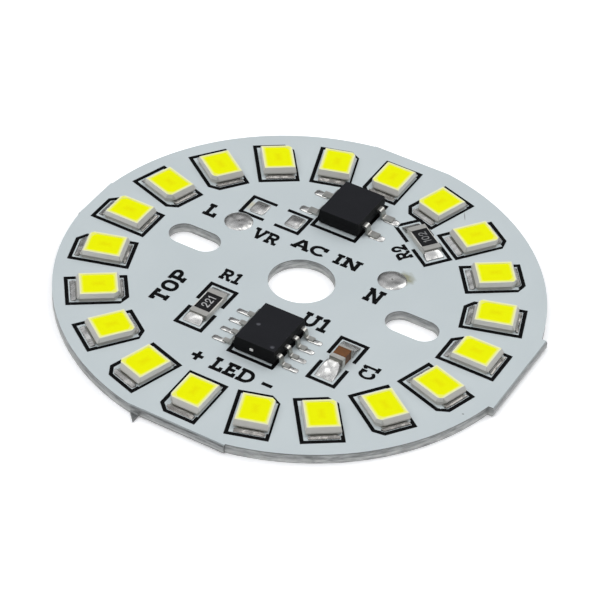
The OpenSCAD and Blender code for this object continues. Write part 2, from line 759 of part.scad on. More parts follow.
module capacitor_block() {
    translate([capacitor_shift + cap_t - capacitor_l / 2, cap_t - capacitor_w / 2, cap_t])
        cube([capacitor_l - 2 * cap_t, capacitor_w - 2 * cap_t, capacitor_h - 2 * cap_t]);
}

module capacitor_body() { color(dielectric_brown) on_print() at_capacitor() capacitor_block(); }

module capacitor_caps() {
    color(tin_silver) on_print() at_capacitor() difference() {
        translate([capacitor_shift, -capacitor_w / 2, 0]) {
            translate([-capacitor_l / 2, 0, 0]) cube([capacitor_cap_l, capacitor_w, capacitor_h]);
            translate([capacitor_l / 2 - capacitor_rear_cap_l, 0, 0])
                cube([capacitor_rear_cap_l, capacitor_w, capacitor_h]);
        }
        capacitor_block();
    }
}

// Solder

// Cushions of solder on a package's lands, from each lead's heel to past its toe
module foot_solder(body_w, body_h, foot_l, toe_solder, solder_w, rows) {
    solder_l = foot_l + toe_solder;
    both_ends() for (y = rows) translate([heel_x(body_w, body_h) + solder_l / 2, y, 0])
        pillow(solder_l, solder_w, lead_solder_h, solder_w * 0.45);
}

module driver_solder() {
    difference() {
        translate(ink_shift) at_driver() foot_solder(driver_w, driver_h, driver_foot_l, driver_toe_solder,
            driver_solder_w, driver_leads_y);
        at_driver() lead_row(driver_w, driver_h, driver_foot_l, driver_lead_w, driver_leads_y);
    }
}

module rectifier_solder() {
    difference() {
        translate(ink_shift) at_rectifier() foot_solder(rectifier_w, rectifier_h, rectifier_foot_l,
            rectifier_toe_solder, rectifier_solder_w, rectifier_leads_y);
        at_rectifier() lead_row(rectifier_w, rectifier_h, rectifier_foot_l, rectifier_lead_w,
            rectifier_leads_y);
    }
}

// Solder that falls from both ends of a chip, before its lands bound it
module chip_fillets(chip_l, chip_h, fillet_l) {
    both_ends() translate([chip_l / 2, 0, 0])
        end_fillet(fillet_l + norm(ink_shift), 2 * chip_land_w, fillet_climb * chip_h);
}

// The space over a chip's lands that solder can fill, rounded down to both sides
module land_arch(land_l, chip_h) {
    h = fillet_climb * chip_h;
    rotate([90, 0, 90]) linear_extrude(land_l, center = true) intersection() {
        rounded_rect(chip_land_w, 2 * h, 0.9 * min(h, chip_land_w / 2));
        translate([-chip_land_w, 0]) square([2 * chip_land_w, 2 * h]);
    }
}

module resistor_fillets() {
    chip_fillets(resistor_l, resistor_h, resistor_fillet_l + abs(resistor_2_slip));
}

module resistor_lands() {
    land_arch(resistor_land_l, resistor_h);
}

module resistor_solder() {
    intersection() {
        at_resistor_1() resistor_fillets();
        translate(ink_shift) at_resistor_1() resistor_lands();
    }
    intersection() {
        at_resistor_2() resistor_fillets();
        translate(ink_shift) at_resistor_2_lands() resistor_lands();
    }
}

module capacitor_solder() {
    intersection() {
        at_capacitor() translate([capacitor_shift, 0, 0])
            chip_fillets(capacitor_l, capacitor_h, capacitor_fillet_l + abs(capacitor_shift));
        translate(ink_shift) at_capacitor() land_arch(capacitor_land_l, capacitor_h);
    }
}

// Solder in front of an LED's terminals, as far as the ink of its frame
module led_solder(k) {
    intersection() {
        at_led(k) both_ends() translate([led_l / 2 + led_terminal_out, 0, 0])
            end_fillet(led_fillet_l + norm(ink_shift), led_land_w, led_terminal_t);
        translate(ink_shift) at_led(k) linear_extrude(led_h) led_field(ink_pad_gap);
    }
}

module solder_joints() {
    color(solder_silver) on_print() {
        for (k = [1 : led_count]) led_solder(k);
        driver_solder();
        rectifier_solder();
        resistor_solder();
        capacitor_solder();
    }
}

// Round tinned pad with a shallow dent in its middle
module wire_pad(place) {
    rise = wire_pad_h - solder_edge_t;
    dome_r = (wire_pad_d * wire_pad_d / 4 + rise * rise) / (2 * rise);
    dent_r = (wire_dent_d * wire_dent_d / 4 + wire_dent_depth * wire_dent_depth) / (2 * wire_dent_depth);
    color(solder_silver) on_print() translate(place) rotate_extrude() difference() {
        intersection() {
            translate([0, wire_pad_h - dome_r]) circle(dome_r, $fn = 720);
            square([wire_pad_d / 2, wire_pad_h]);
        }
        translate([0, wire_pad_h - wire_dent_depth + dent_r]) circle(dent_r, $fn = 180);
    }
}

module wire_pad_line() { wire_pad(line_pad_place); }
module wire_pad_neutral() { wire_pad(neutral_pad_place); }

module varistor_pads() {
    color(solder_silver) on_print() at_varistor() both_ends() translate([varistor_pitch / 2, 0, 0])
        pillow(varistor_pad_l, varistor_pad_w, varistor_pad_h, varistor_pad_l / 5);
}

base_plate();
white_coat();
legend_ink();
for (k = [1 : led_count]) {
    led_housing(k);
    led_phosphor(k);
}
led_terminals();
driver_body();
driver_leads();
rectifier_body();
rectifier_leads();
resistor_1_ceramic();
resistor_1_caps();
resistor_1_overcoat();
resistor_2_ceramic();
resistor_2_caps();
resistor_2_overcoat();
capacitor_body();
capacitor_caps();
solder_joints();
wire_pad_line();
wire_pad_neutral();
varistor_pads();
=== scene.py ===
# %% [markdown]
# # A round LED light board
# The object is a round circuit board on an aluminium core. Twenty yellow LEDs stand in a ring, and a driver,
# a bridge rectifier, two resistors and a capacitor stand in the middle. The solids come from the packed
# CAD model in metres, and this lesson gives them a camera, a studio, finishes, and the printed lettering.

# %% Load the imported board
import math

import bpy
import bmesh
from mathutils import Matrix, Vector


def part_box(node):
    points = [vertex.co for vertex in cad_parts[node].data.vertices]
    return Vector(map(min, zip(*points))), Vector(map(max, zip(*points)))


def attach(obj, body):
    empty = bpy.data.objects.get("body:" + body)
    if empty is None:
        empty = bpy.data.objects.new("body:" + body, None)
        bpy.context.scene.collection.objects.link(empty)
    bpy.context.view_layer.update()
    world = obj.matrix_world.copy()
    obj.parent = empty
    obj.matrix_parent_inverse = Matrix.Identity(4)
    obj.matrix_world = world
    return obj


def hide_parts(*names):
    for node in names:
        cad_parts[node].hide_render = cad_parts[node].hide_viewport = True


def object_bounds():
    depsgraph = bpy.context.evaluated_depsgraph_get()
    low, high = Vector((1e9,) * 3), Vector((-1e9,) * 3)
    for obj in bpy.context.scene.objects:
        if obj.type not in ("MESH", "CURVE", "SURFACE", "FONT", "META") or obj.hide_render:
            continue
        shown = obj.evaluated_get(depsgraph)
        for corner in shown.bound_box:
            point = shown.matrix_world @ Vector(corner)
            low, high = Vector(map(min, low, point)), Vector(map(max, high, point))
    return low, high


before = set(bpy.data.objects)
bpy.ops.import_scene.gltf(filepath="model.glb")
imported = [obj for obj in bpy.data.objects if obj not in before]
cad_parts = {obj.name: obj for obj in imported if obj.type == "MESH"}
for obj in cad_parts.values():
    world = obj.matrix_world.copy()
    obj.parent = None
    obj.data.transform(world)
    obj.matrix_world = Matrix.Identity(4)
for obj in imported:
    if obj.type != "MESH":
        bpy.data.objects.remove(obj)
cad_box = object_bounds()
corners = [tuple(round(v, 4) for v in corner) for corner in cad_box]
print("nodes:", len(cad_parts), "box in metres:", corners)

# %% [markdown]
# ## Millimetres and colours
# A circuit board is drawn in millimetres and Blender counts in metres, so one factor turns the first into the
# second. Colours are picked as sRGB hex values, as a paint program shows them. A shader adds up light, so it
# needs linear values, and one function does that step for every colour below.

# %% Units and colours
MM = 0.001


def linear(hex_colour):
    """Turns an sRGB hex value into the linear colour that a shader adds up."""
    channels = [int(hex_colour[i:i + 2], 16) / 255 for i in (1, 3, 5)]
    return [c / 12.92 if c <= 0.04045 else ((c + 0.055) / 1.055) ** 2.4 for c in channels] + [1.0]


print("mid grey is", [round(c, 3) for c in linear("#808080")])

# %% [markdown]
# ## The camera
# The picture was taken from the front right, about 40 degrees above the board, from far enough away that
# the circle hardly narrows towards the back. A long lens and a small roll give the same frame. The camera's
# axes are worked out from the three angles and written as a matrix, because that can't drift by a pivot.

# %% Camera
AZIMUTH, ELEVATION, ROLL = (math.radians(a) for a in (27.1256, 40.1129, 4.1142))
DISTANCE, NEAREST = 215.3592 * MM, 5 * MM
TARGET = Vector((0.577, -1.1791, 0.0)) * MM
FOCAL_PIXELS, FRAME_PIXELS, SENSOR = 2666.47, 600, 36.0


def direction(bearing, climb):
    """The way from the board to something so far round from the front and so far up, in radians."""
    level = math.cos(climb)
    return Vector((math.sin(bearing) * level, -math.cos(bearing) * level, math.sin(climb)))


back = direction(AZIMUTH, ELEVATION)
side = Vector((math.cos(AZIMUTH), math.sin(AZIMUTH), 0.0))
up = back.cross(side)
across = side * math.cos(ROLL) + up * math.sin(ROLL)
along = up * math.cos(ROLL) - side * math.sin(ROLL)

bpy.ops.object.select_all(action="DESELECT")
bpy.ops.object.camera_add()
camera = bpy.context.object
camera.name = "camera"
axes = Matrix((across, along, back)).transposed().to_4x4()
camera.matrix_world = Matrix.Translation(TARGET + back * DISTANCE) @ axes
camera.data.sensor_width = SENSOR
camera.data.lens = FOCAL_PIXELS / FRAME_PIXELS * SENSOR
camera.data.clip_start = NEAREST
bpy.context.scene.camera = camera
print("camera at", [round(v / MM, 1) for v in camera.location], "mm, lens", round(camera.data.lens, 1), "mm")

# %% [markdown]
# ## Nodes
# Every finish below is a small graph of shader nodes. Adding one by hand means three things: choose its kind,
# set its boxes, and draw its wires. One function does these three, so that a material reads as a list of what
# it is made of. A wire starts at a node's first output in use, unless another one is named. Each material
# sees its surface in millimetres, so the scale of a pattern says how many waves lie in a millimetre.

# %% One function that adds a node
def add(tree, kind, inputs=None, **settings):
    """Adds a shader node, sets its properties, and fills its inputs or wires them to other nodes."""
    node = tree.nodes.new("ShaderNode" + kind)
    for name, value in settings.items():
        setattr(node, name, value)
    for name, value in (inputs or {}).items():
        if isinstance(value, bpy.types.Node):
            value = next(socket for socket in value.outputs if socket.enabled)
        if isinstance(value, bpy.types.NodeSocket):
            tree.links.new(value, node.inputs[name])
        else:
            node.inputs[name].default_value = value
    return node


def new_material(name):
    """An empty material, its tree, and the node that gives a point's place on the board in millimetres."""
    material = bpy.data.materials.new(name)
    material.use_nodes = True
    tree = material.node_tree
    tree.nodes.clear()
    place = add(tree, "TexCoord")
    mm = add(tree, "Mapping", {"Vector": place.outputs["Object"], "Scale": (1 / MM, 1 / MM, 1 / MM)})
    return material, tree, mm


print("node helper ready")

# %% [markdown]
# ## The studio
# A product picture of a small board is taken on white card between soft boxes. The card here is a plane
# whose back edge is pulled up a little and rounded, as a sheet curls on a table. It keeps the board's soft
# shadow, and a little light of its own lifts it to white for the eye and for metal that mirrors it.

# %% Floor of white card
CARD, RISE, CURVE, CURVE_STEPS = 1.6, 0.12, 0.06, 12
BELOW, TOUCH = 0.02 * MM, 0.001
PAPER, CARD_LIGHT = 0.4, 0.26


def at_back(edge):
    """Whether an edge lies along the back of the card."""
    return all(v.co.y > CARD / 2 - TOUCH for v in edge.verts)


def in_fold(edge):
    """Whether an edge lies at the back, where the card turns up."""
    return at_back(edge) and all(abs(v.co.z) < TOUCH for v in edge.verts)


def select_edges(mesh_data, chosen):
    """Selects the edges that pass a test, in edit mode."""
    bpy.ops.mesh.select_all(action="DESELECT")
    mesh = bmesh.from_edit_mesh(mesh_data)
    for edge in mesh.edges:
        edge.select = chosen(edge)
    bmesh.update_edit_mesh(mesh_data)


bpy.ops.object.select_all(action="DESELECT")
bpy.ops.mesh.primitive_plane_add(size=CARD, location=(0, 0, -BELOW))
floor = bpy.context.object
floor.name = "white_card"
bpy.ops.object.transform_apply(location=True, rotation=False, scale=False)
bpy.ops.object.mode_set(mode="EDIT")
bpy.ops.mesh.select_mode(type="EDGE")
select_edges(floor.data, at_back)
bpy.ops.mesh.extrude_region_move(TRANSFORM_OT_translate={"value": (0, 0, RISE)})
select_edges(floor.data, in_fold)
bpy.ops.mesh.bevel(offset=CURVE, offset_type="OFFSET", segments=CURVE_STEPS, affect="EDGES")
bpy.ops.object.mode_set(mode="OBJECT")
bpy.ops.object.shade_smooth()

card, tree, mm = new_material("white_card")
paper = add(tree, "TexNoise", {"Vector": mm, "Scale": PAPER, "Detail": 3.0})
tone = add(tree, "Mix", {"Factor": paper, "A": linear("#FBFBFB"), "B": linear("#FFFFFF")}, data_type="RGBA")
matt = add(tree, "BsdfDiffuse", {"Color": tone})
ray = add(tree, "LightPath")
seen = ray.outputs["Is Camera Ray"]
for kind in ("Is Glossy Ray", "Is Transmission Ray"):
    seen = add(tree, "Math", {0: seen, 1: ray.outputs[kind]}, operation="MAXIMUM")
lift = add(tree, "Math", {0: seen, 1: CARD_LIGHT}, operation="MULTIPLY")
glow = add(tree, "Emission", {"Strength": lift})
both = add(tree, "AddShader", {0: matt, 1: glow})
add(tree, "OutputMaterial", {"Surface": both})
floor.data.materials.append(card)
print("card:", len(floor.data.polygons), "faces")

# %% [markdown]
# ## Light
# A soft box stands left of the camera, another right of the board, and a small one hangs overhead. A surround
# that is pale above and dim near the horizon fills the rest, as in a light tent. Together they give a face
# that looks up about one unit of light, so a colour comes out about as it is written. Solder mirrors all of
# it: level parts show the grey middle of the tent, some slopes show a box, and slopes away the dim horizon.

# %% Soft boxes and surround
DIM, PALE = 0.12, 0.95
DIM_BELOW, PALE_ABOVE = 0.33, 0.9
FAR = 0.9
# Degrees round from the camera, degrees up, metres wide, watts
BOXES = {"soft_box_left": (-65, 55, 0.5, 1.75), "soft_box_right": (128, 46, 0.5, 1.9),
         "soft_box_top": (180, 80, 0.2, 0.48)}

world = bpy.data.worlds.new("pale_surround")
bpy.context.scene.world = world
world.use_nodes = True
tree = world.node_tree
tree.nodes.clear()
way = add(tree, "TexCoord")
rise = add(tree, "SeparateXYZ", {"Vector": way.outputs["Generated"]})
room = add(tree, "MapRange", {"Value": rise.outputs["Z"], "From Min": DIM_BELOW, "From Max": PALE_ABOVE,
                              "To Min": DIM, "To Max": PALE})
air = add(tree, "Background", {"Color": linear("#F8FAFF"), "Strength": room})
add(tree, "OutputWorld", {"Surface": air})

for name, (swing, climb, width, watts) in BOXES.items():
    place = FAR * direction(AZIMUTH + math.radians(swing), math.radians(climb))
    bpy.ops.object.select_all(action="DESELECT")
    bpy.ops.object.light_add(type="AREA", location=place)
    soft_box = bpy.context.object
    soft_box.name = name
    soft_box.data.shape = "SQUARE"
    soft_box.data.size = width
    soft_box.data.energy = watts
    soft_box.rotation_euler = (-place).to_track_quat("-Z", "Y").to_euler()
    print(name, width, "m wide,", watts, "W")
bpy.context.scene.view_settings.view_transform = "Standard"
print("surround from", DIM, "to", PALE)

# %% [markdown]
# ## Aluminium
# The core is rolled aluminium sheet, 0.8 mm thick, punched out of a panel. The rolls leave long fine lines on
# its back. The cut wall has a smooth sheared band above, which looks darker, and a pale torn band below, with
# long scuffs that run round with it. The scuffs come from noise that is stretched round the board and
# squeezed in height, and the bands from the height itself. The burr at the front is torn right through and
# looks dark. Wall faces that slope downwards, such as the lower score line of each snapped tab, are painted
# dark: a painted shade under the edge.

# %% Rolled and punched aluminium
BURR_TIP, BURR_L, BURR_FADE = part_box("base_plate")[0].y / MM, 0.75, 0.2
ROLL_LINES, SCUFFS = (0.12, 6.0, 1.0), (0.9, 0.9, 5.0)
SHEARED_ABOVE, TORN_BELOW, WANDER = 0.62, 0.48, 0.30


def upward(tree):
    """How far a face looks up: 1 for a level top, 0 for a wall and -1 for the underside."""
    facing = add(tree, "NewGeometry")
    return add(tree, "SeparateXYZ", {"Vector": facing.outputs["Normal"]}).outputs["Z"]


aluminium, tree, mm = new_material("rolled_punched_aluminium")
rolls = add(tree, "Mapping", {"Vector": mm, "Scale": ROLL_LINES})
lines = add(tree, "TexNoise", {"Vector": rolls, "Scale": 1.0, "Detail": 4.0})
squeeze = add(tree, "Mapping", {"Vector": mm, "Scale": SCUFFS})
streaks = add(tree, "TexNoise", {"Vector": squeeze, "Scale": 1.0, "Detail": 5.0, "Roughness": 0.65})
facing = upward(tree)
flat = add(tree, "Math", {0: facing}, operation="ABSOLUTE")
wall = add(tree, "MapRange", {"Value": flat, "From Min": 0.8, "From Max": 0.4})
at = add(tree, "SeparateXYZ", {"Vector": mm})
wave = add(tree, "Math", {0: streaks, 1: WANDER, 2: at.outputs["Z"]}, operation="MULTIPLY_ADD")
torn = add(tree, "MapRange", {"Value": wave, "From Min": SHEARED_ABOVE, "From Max": TORN_BELOW})
marks = add(tree, "MapRange", {"Value": streaks, "From Min": 0.34, "From Max": 0.66})
sheet = add(tree, "Mix", {"Factor": lines, "A": linear("#B9BCBD"), "B": linear("#CDCFCF")}, data_type="RGBA")
dark = add(tree, "Mix", {"Factor": marks, "A": linear("#6C6E6E"), "B": linear("#A8AAA9")}, data_type="RGBA")
dull = add(tree, "Mix", {"Factor": marks, "A": linear("#878988"), "B": linear("#C4C5C3")}, data_type="RGBA")
cut = add(tree, "Mix", {"Factor": torn, "A": dark, "B": dull}, data_type="RGBA")
tone = add(tree, "Mix", {"Factor": wall, "A": sheet, "B": cut}, data_type="RGBA")
# Painted shade: wall faces that slope downwards, as under a tab's lower score line, are painted dark.
under = add(tree, "MapRange", {"Value": facing, "From Min": -0.3, "From Max": -0.45})
painted_shade_under = add(tree, "Math", {0: under, 1: wall}, operation="MULTIPLY")
tone = add(tree, "Mix", {"Factor": painted_shade_under, "A": tone, "B": linear("#262827")}, data_type="RGBA")
burr = add(tree, "MapRange", {"Value": at.outputs["Y"], "From Min": BURR_TIP + BURR_L,
                              "From Max": BURR_TIP + BURR_L - BURR_FADE, "To Max": 0.9})
tone = add(tree, "Mix", {"Factor": burr, "A": tone, "B": linear("#747675")}, data_type="RGBA")
rough = add(tree, "MapRange", {"Value": streaks, "To Min": 0.30, "To Max": 0.55})
grain = add(tree, "Mix", {"Factor": wall, "A": lines, "B": streaks}, data_type="FLOAT")
relief = add(tree, "Bump", {"Strength": 0.6, "Distance": 0.03 * MM, "Height": grain})
metal = add(tree, "BsdfPrincipled", {"Base Color": tone, "Metallic": 1.0, "Roughness": rough,
                                     "Normal": relief})
add(tree, "OutputMaterial", {"Surface": metal})

# %% [markdown]
# ## White lacquer
# The top face carries a white solder mask, a printed and baked lacquer about as thick as two hairs. It is
# satin, a little uneven, and the light board shows a cool pale grey. Flux has left an olive stain by the
# right wire pad and a weaker one by an empty pad. Each is a soft spot placed by a Mapping node and broken up
# by noise. A short scratch runs between two LEDs near the rectifier, and a dark speck lies near the right
# rim. They are drawn the same way, from how far a point lies from the mark's middle, after a turn and a
# squeeze. The cut edge shows the grey resin below.

# %% White solder mask
COAT_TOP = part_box("white_coat")[1].z
CLOUDS, RAGS, PEEL = 0.16, 2.2, 3.5
RAG_DEPTH, STAIN_FADE = 0.9, 0.65
# Place, reach, strength and colour of each stain; place, turn, length and width of each mark
STAINS = [((6.86, 4.93), 1.42, 0.9, "#8C8B6E"), ((-8.52, 6.3), 1.15, 0.6, "#C0B285")]
MARKS = [((7.23, 14.92), math.radians(-60), 0.95, 0.08), ((18.27, -6.97), 0.0, 0.18, 0.15)]


def distance_from(tree, mm, place):
    """How far a point lies from a place, in millimetres."""
    shift = add(tree, "Mapping", {"Vector": mm, "Location": [-v for v in place]})
    return add(tree, "VectorMath", {0: shift}, operation="LENGTH")


lacquer, tree, mm = new_material("white_solder_mask")
cloud = add(tree, "TexNoise", {"Vector": mm, "Scale": CLOUDS, "Detail": 2.0})
tone = add(tree, "Mix", {"Factor": cloud, "A": linear("#C1CACB"), "B": linear("#CAD2D3")}, data_type="RGBA")
ragged = add(tree, "TexNoise", {"Vector": mm, "Scale": RAGS, "Detail": 3.0})
for place, reach, strength, colour in STAINS:
    away = distance_from(tree, mm, (*place, COAT_TOP / MM))
    edge = add(tree, "Math", {0: ragged, 1: RAG_DEPTH, 2: away}, operation="MULTIPLY_ADD")
    flux = add(tree, "MapRange", {"Value": edge, "From Min": reach, "From Max": reach - STAIN_FADE,
                                  "To Max": strength})
    tone = add(tree, "Mix", {"Factor": flux, "A": tone, "B": linear(colour)}, data_type="RGBA")
for place, turn, length, width in MARKS:
    line = add(tree, "Mapping", {"Vector": mm, "Location": (*place, COAT_TOP / MM), "Rotation": (0, 0, turn),
                                 "Scale": (length / 2, width / 2, 1)}, vector_type="TEXTURE")
    away = add(tree, "VectorMath", {0: line}, operation="LENGTH")
    mark = add(tree, "MapRange", {"Value": away, "From Min": 1.3, "From Max": 0.6, "To Max": 0.8})
    tone = add(tree, "Mix", {"Factor": mark, "A": tone, "B": linear("#6E7173")}, data_type="RGBA")
edge = add(tree, "MapRange", {"Value": upward(tree), "From Min": 0.7, "From Max": 0.3})
tone = add(tree, "Mix", {"Factor": edge, "A": tone, "B": linear("#6F7372")}, data_type="RGBA")
peel = add(tree, "TexNoise", {"Vector": mm, "Scale": PEEL, "Detail": 2.0})
relief = add(tree, "Bump", {"Strength": 0.35, "Distance": 0.012 * MM, "Height": peel})
mask = add(tree, "BsdfPrincipled", {"Base Color": tone, "Roughness": 0.42, "IOR": 1.5, "Normal": relief})
add(tree, "OutputMaterial", {"Surface": mask})
print("flux stains:", len(STAINS), "marks:", len(MARKS))

# %% [markdown]
# ## Legend ink
# The black legend is an epoxy ink printed through a screen. It is nearly black, dries semi-matt, and thins a
# little where the screen let less of it through. Noise about as wide as the mesh of a screen gives that.

# %% Screen-printed ink
SCREEN = 6.0

ink, tree, mm = new_material("screen_printed_ink")
screen = add(tree, "TexNoise", {"Vector": mm, "Scale": SCREEN, "Detail": 3.0})
tone = add(tree, "Mix", {"Factor": screen, "A": linear("#030304"), "B": linear("#0B0B0C")}, data_type="RGBA")
rough = add(tree, "MapRange", {"Value": screen, "To Min": 0.45, "To Max": 0.62})
relief = add(tree, "Bump", {"Strength": 0.4, "Distance": 0.01 * MM, "Height": screen})
film = add(tree, "BsdfPrincipled", {"Base Color": tone, "Roughness": rough, "IOR": 1.5,
                                    "Specular IOR Level": 0.06, "Normal": relief})
add(tree, "OutputMaterial", {"Surface": film})

# %% [markdown]
# ## Where a point lies on its LED
# All twenty LEDs are alike and stand on one circle, 18 degrees apart, with their length along the radius. So
# one pattern can serve them all: the angle of a point is rounded to the nearest LED, and what is left over
# says how far the point lies from that LED's middle, along the radius and across it. From both follows how
# far it lies outside the LED's window.

# %% Coordinates on the nearest LED
RING_Y, RING_R, STEP = -0.55, 16.12, math.radians(18)
WINDOW_L, WINDOW_W = 2.64, 2.17


def led_place(tree, mm):
    """How far a point is from its LED's middle along the radius, and from its window, below 0 inside."""
    shift = add(tree, "Mapping", {"Vector": mm, "Location": (0, -RING_Y, 0)})
    at = add(tree, "SeparateXYZ", {"Vector": shift})
    angle = add(tree, "Math", {0: at.outputs["Y"], 1: at.outputs["X"]}, operation="ARCTAN2")
    half_on = add(tree, "Math", {0: angle, 1: STEP / 2}, operation="ADD")
    nearest = add(tree, "Math", {0: half_on, 1: STEP}, operation="SNAP")
    back_turn = add(tree, "Math", {0: nearest, 1: -1.0}, operation="MULTIPLY")
    turned = add(tree, "VectorRotate", {"Vector": shift, "Angle": back_turn}, rotation_type="Z_AXIS")
    local = add(tree, "SeparateXYZ", {"Vector": turned})
    radial = add(tree, "Math", {0: local.outputs["X"], 1: RING_R}, operation="SUBTRACT")
    past = []
    for value, half in ((radial, WINDOW_L / 2), (local.outputs["Y"], WINDOW_W / 2)):
        size = add(tree, "Math", {0: value}, operation="ABSOLUTE")
        past.append(add(tree, "Math", {0: size, 1: half}, operation="SUBTRACT"))
    return radial, add(tree, "Math", {0: past[0], 1: past[1]}, operation="MAXIMUM")


print("ring of", round(2 * math.pi / STEP), "LEDs, radius", RING_R, "mm, windows", WINDOW_L, "x", WINDOW_W)

# %% [markdown]
# ## White LED plastic
# The housing is a white moulded polyamide, filled so that it throws the light back. It is dull and slightly
# warm. Round the window it takes on some of the yellow, because light creeps through the thin wall. Its two
# ends are painted greyer, a painted shade, and so is the wall below the line where the mould parted, a
# painted shade under the lip.

# %% Moulded LED housing
TINT_REACH, END, BLUR = 0.28, WINDOW_L / 2 + 0.22, 0.02
LED_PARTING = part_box("led_housing_01")[0].z / MM + 0.34
FILLER, SKIN = 1.4, 18.0

plastic, tree, mm = new_material("white_moulded_polyamide")
radial, rim = led_place(tree, mm)
cloud = add(tree, "TexNoise", {"Vector": mm, "Scale": FILLER, "Detail": 3.0})
tone = add(tree, "Mix", {"Factor": cloud, "A": linear("#E6E4DC"), "B": linear("#F0EEE7")}, data_type="RGBA")
# Painted shade: the two ends of each housing are painted greyer.
far = add(tree, "Math", {0: radial}, operation="ABSOLUTE")
painted_shade_ends = add(tree, "MapRange", {"Value": far, "From Min": END - BLUR, "From Max": END + BLUR})
tone = add(tree, "Mix", {"Factor": painted_shade_ends, "A": tone, "B": linear("#D4D2CA")}, data_type="RGBA")
tint = add(tree, "MapRange", {"Value": rim, "From Min": TINT_REACH, "From Max": 0.0, "To Max": 0.95})
top = add(tree, "Math", {0: tint, 1: upward(tree)}, operation="MULTIPLY", use_clamp=True)
tone = add(tree, "Mix", {"Factor": top, "A": tone, "B": linear("#F4F552")}, data_type="RGBA")
at = add(tree, "SeparateXYZ", {"Vector": mm})
# Painted shade: the wall below the parting line is painted greyer, as under a lip.
painted_shade_below_parting = add(tree, "MapRange", {"Value": at.outputs["Z"], "From Min": LED_PARTING + BLUR,
                               "From Max": LED_PARTING - BLUR})
tone = add(tree, "Mix", {"Factor": painted_shade_below_parting, "A": tone, "B": linear("#CFCDC5")}, data_type="RGBA")
skin = add(tree, "TexNoise", {"Vector": mm, "Scale": SKIN, "Detail": 2.0})
relief = add(tree, "Bump", {"Strength": 0.3, "Distance": 0.006 * MM, "Height": skin})
moulded = add(tree, "BsdfPrincipled", {"Base Color": tone, "Roughness": 0.48, "IOR": 1.53, "Normal": relief})
add(tree, "OutputMaterial", {"Surface": moulded})
print("mould parts", round(LED_PARTING, 2), "mm up")

# %% [markdown]
# ## Phosphor
# The window is filled with clear silicone that carries a yellow phosphor powder. The fill is thin at its
# edge, so the white wall shows through and the yellow pales within the last sixth of a millimetre. Fine
# grains show as faint specks, and the chip under the middle shows as a faint warm patch.

# %% Yellow phosphor in silicone
PALES_FROM, PALES_TO = -0.16, 0.1
GRAINS, CHIP_RAGS = 9.0, 0.5

phosphor, tree, mm = new_material("phosphor_in_silicone")
radial, rim = led_place(tree, mm)
thin = add(tree, "MapRange", {"Value": rim, "From Min": PALES_FROM, "From Max": PALES_TO, "To Max": 0.75},
           interpolation_type="SMOOTHSTEP")
grains = add(tree, "TexNoise", {"Vector": mm, "Scale": GRAINS, "Detail": 4.0, "Roughness": 0.7})
tone = add(tree, "Mix", {"Factor": grains, "A": linear("#EEF200"), "B": linear("#F6F900")}, data_type="RGBA")
patch = add(tree, "Math", {0: grains, 1: CHIP_RAGS, 2: rim}, operation="MULTIPLY_ADD")
chip = add(tree, "MapRange", {"Value": patch, "From Min": -0.4, "From Max": -0.9, "To Max": 0.5})
tone = add(tree, "Mix", {"Factor": chip, "A": tone, "B": linear("#EADD00")}, data_type="RGBA")
tone = add(tree, "Mix", {"Factor": thin, "A": tone, "B": linear("#F4F57C")}, data_type="RGBA")
relief = add(tree, "Bump", {"Strength": 0.25, "Distance": 0.008 * MM, "Height": grains})
fill = add(tree, "BsdfPrincipled", {"Base Color": tone, "Roughness": 0.55, "IOR": 1.41,
                                    "Specular IOR Level": 0.06, "Normal": relief})
add(tree, "OutputMaterial", {"Surface": fill})
print("phosphor pales over the last", -PALES_FROM, "mm")

# %% [markdown]
# ## Tinned copper
# Leads, terminals and end caps are copper or iron strip with a matt tin plating. Tin is a light warm grey
# with a fine crystal grain, and stamping leaves it a little wavy. One bar that held the driver in its strip
# is cut off flush with the driver's wall. Its end is painted as a white dot that is not metal: a painted
# highlight. The end caps of the three chips are dipped, not stamped, and come out paler.

# %% Matt tin plating
PARTING = 1.67
GLINT_ON_CUT_END = (1.3, -10.3, PARTING)
CAPS = [sum(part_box(f"{chip}_caps"), Vector()) / 2 / MM for chip in ("resistor_1", "resistor_2", "capacitor")]
CRYSTALS, WAVES = 11.0, 3.0

tin, tree, mm = new_material("matt_tin_plating")
crystal = add(tree, "TexVoronoi", {"Vector": mm, "Scale": CRYSTALS})
cloud = add(tree, "TexNoise", {"Vector": mm, "Scale": WAVES, "Detail": 4.0})
tone = add(tree, "Mix", {"Factor": cloud, "A": linear("#9A9994"), "B": linear("#C4C3BD")}, data_type="RGBA")
for place in CAPS:
    away = distance_from(tree, mm, place)
    clean = add(tree, "MapRange", {"Value": away, "From Min": 2.3, "From Max": 2.1, "To Max": 0.8})
    tone = add(tree, "Mix", {"Factor": clean, "A": tone, "B": linear("#CFCDC6")}, data_type="RGBA")
# Painted highlight: the tie bar's cut end is painted as a white, non-metal dot that stands for a glint.
away = distance_from(tree, mm, GLINT_ON_CUT_END)
fresh = add(tree, "MapRange", {"Value": away, "From Min": 0.3, "From Max": 0.2})
tone = add(tree, "Mix", {"Factor": fresh, "A": tone, "B": linear("#F4F3EE")}, data_type="RGBA")
shine = add(tree, "Math", {0: 1.0, 1: fresh}, operation="SUBTRACT")
rough = add(tree, "MapRange", {"Value": crystal, "To Min": 0.26, "To Max": 0.42})
relief = add(tree, "Bump", {"Strength": 0.5, "Distance": 0.02 * MM, "Height": cloud})
plated = add(tree, "BsdfPrincipled", {"Base Color": tone, "Metallic": shine, "Roughness": rough,
                                      "Normal": relief})
add(tree, "OutputMaterial", {"Surface": plated})
print("chips with pale caps:", len(CAPS))

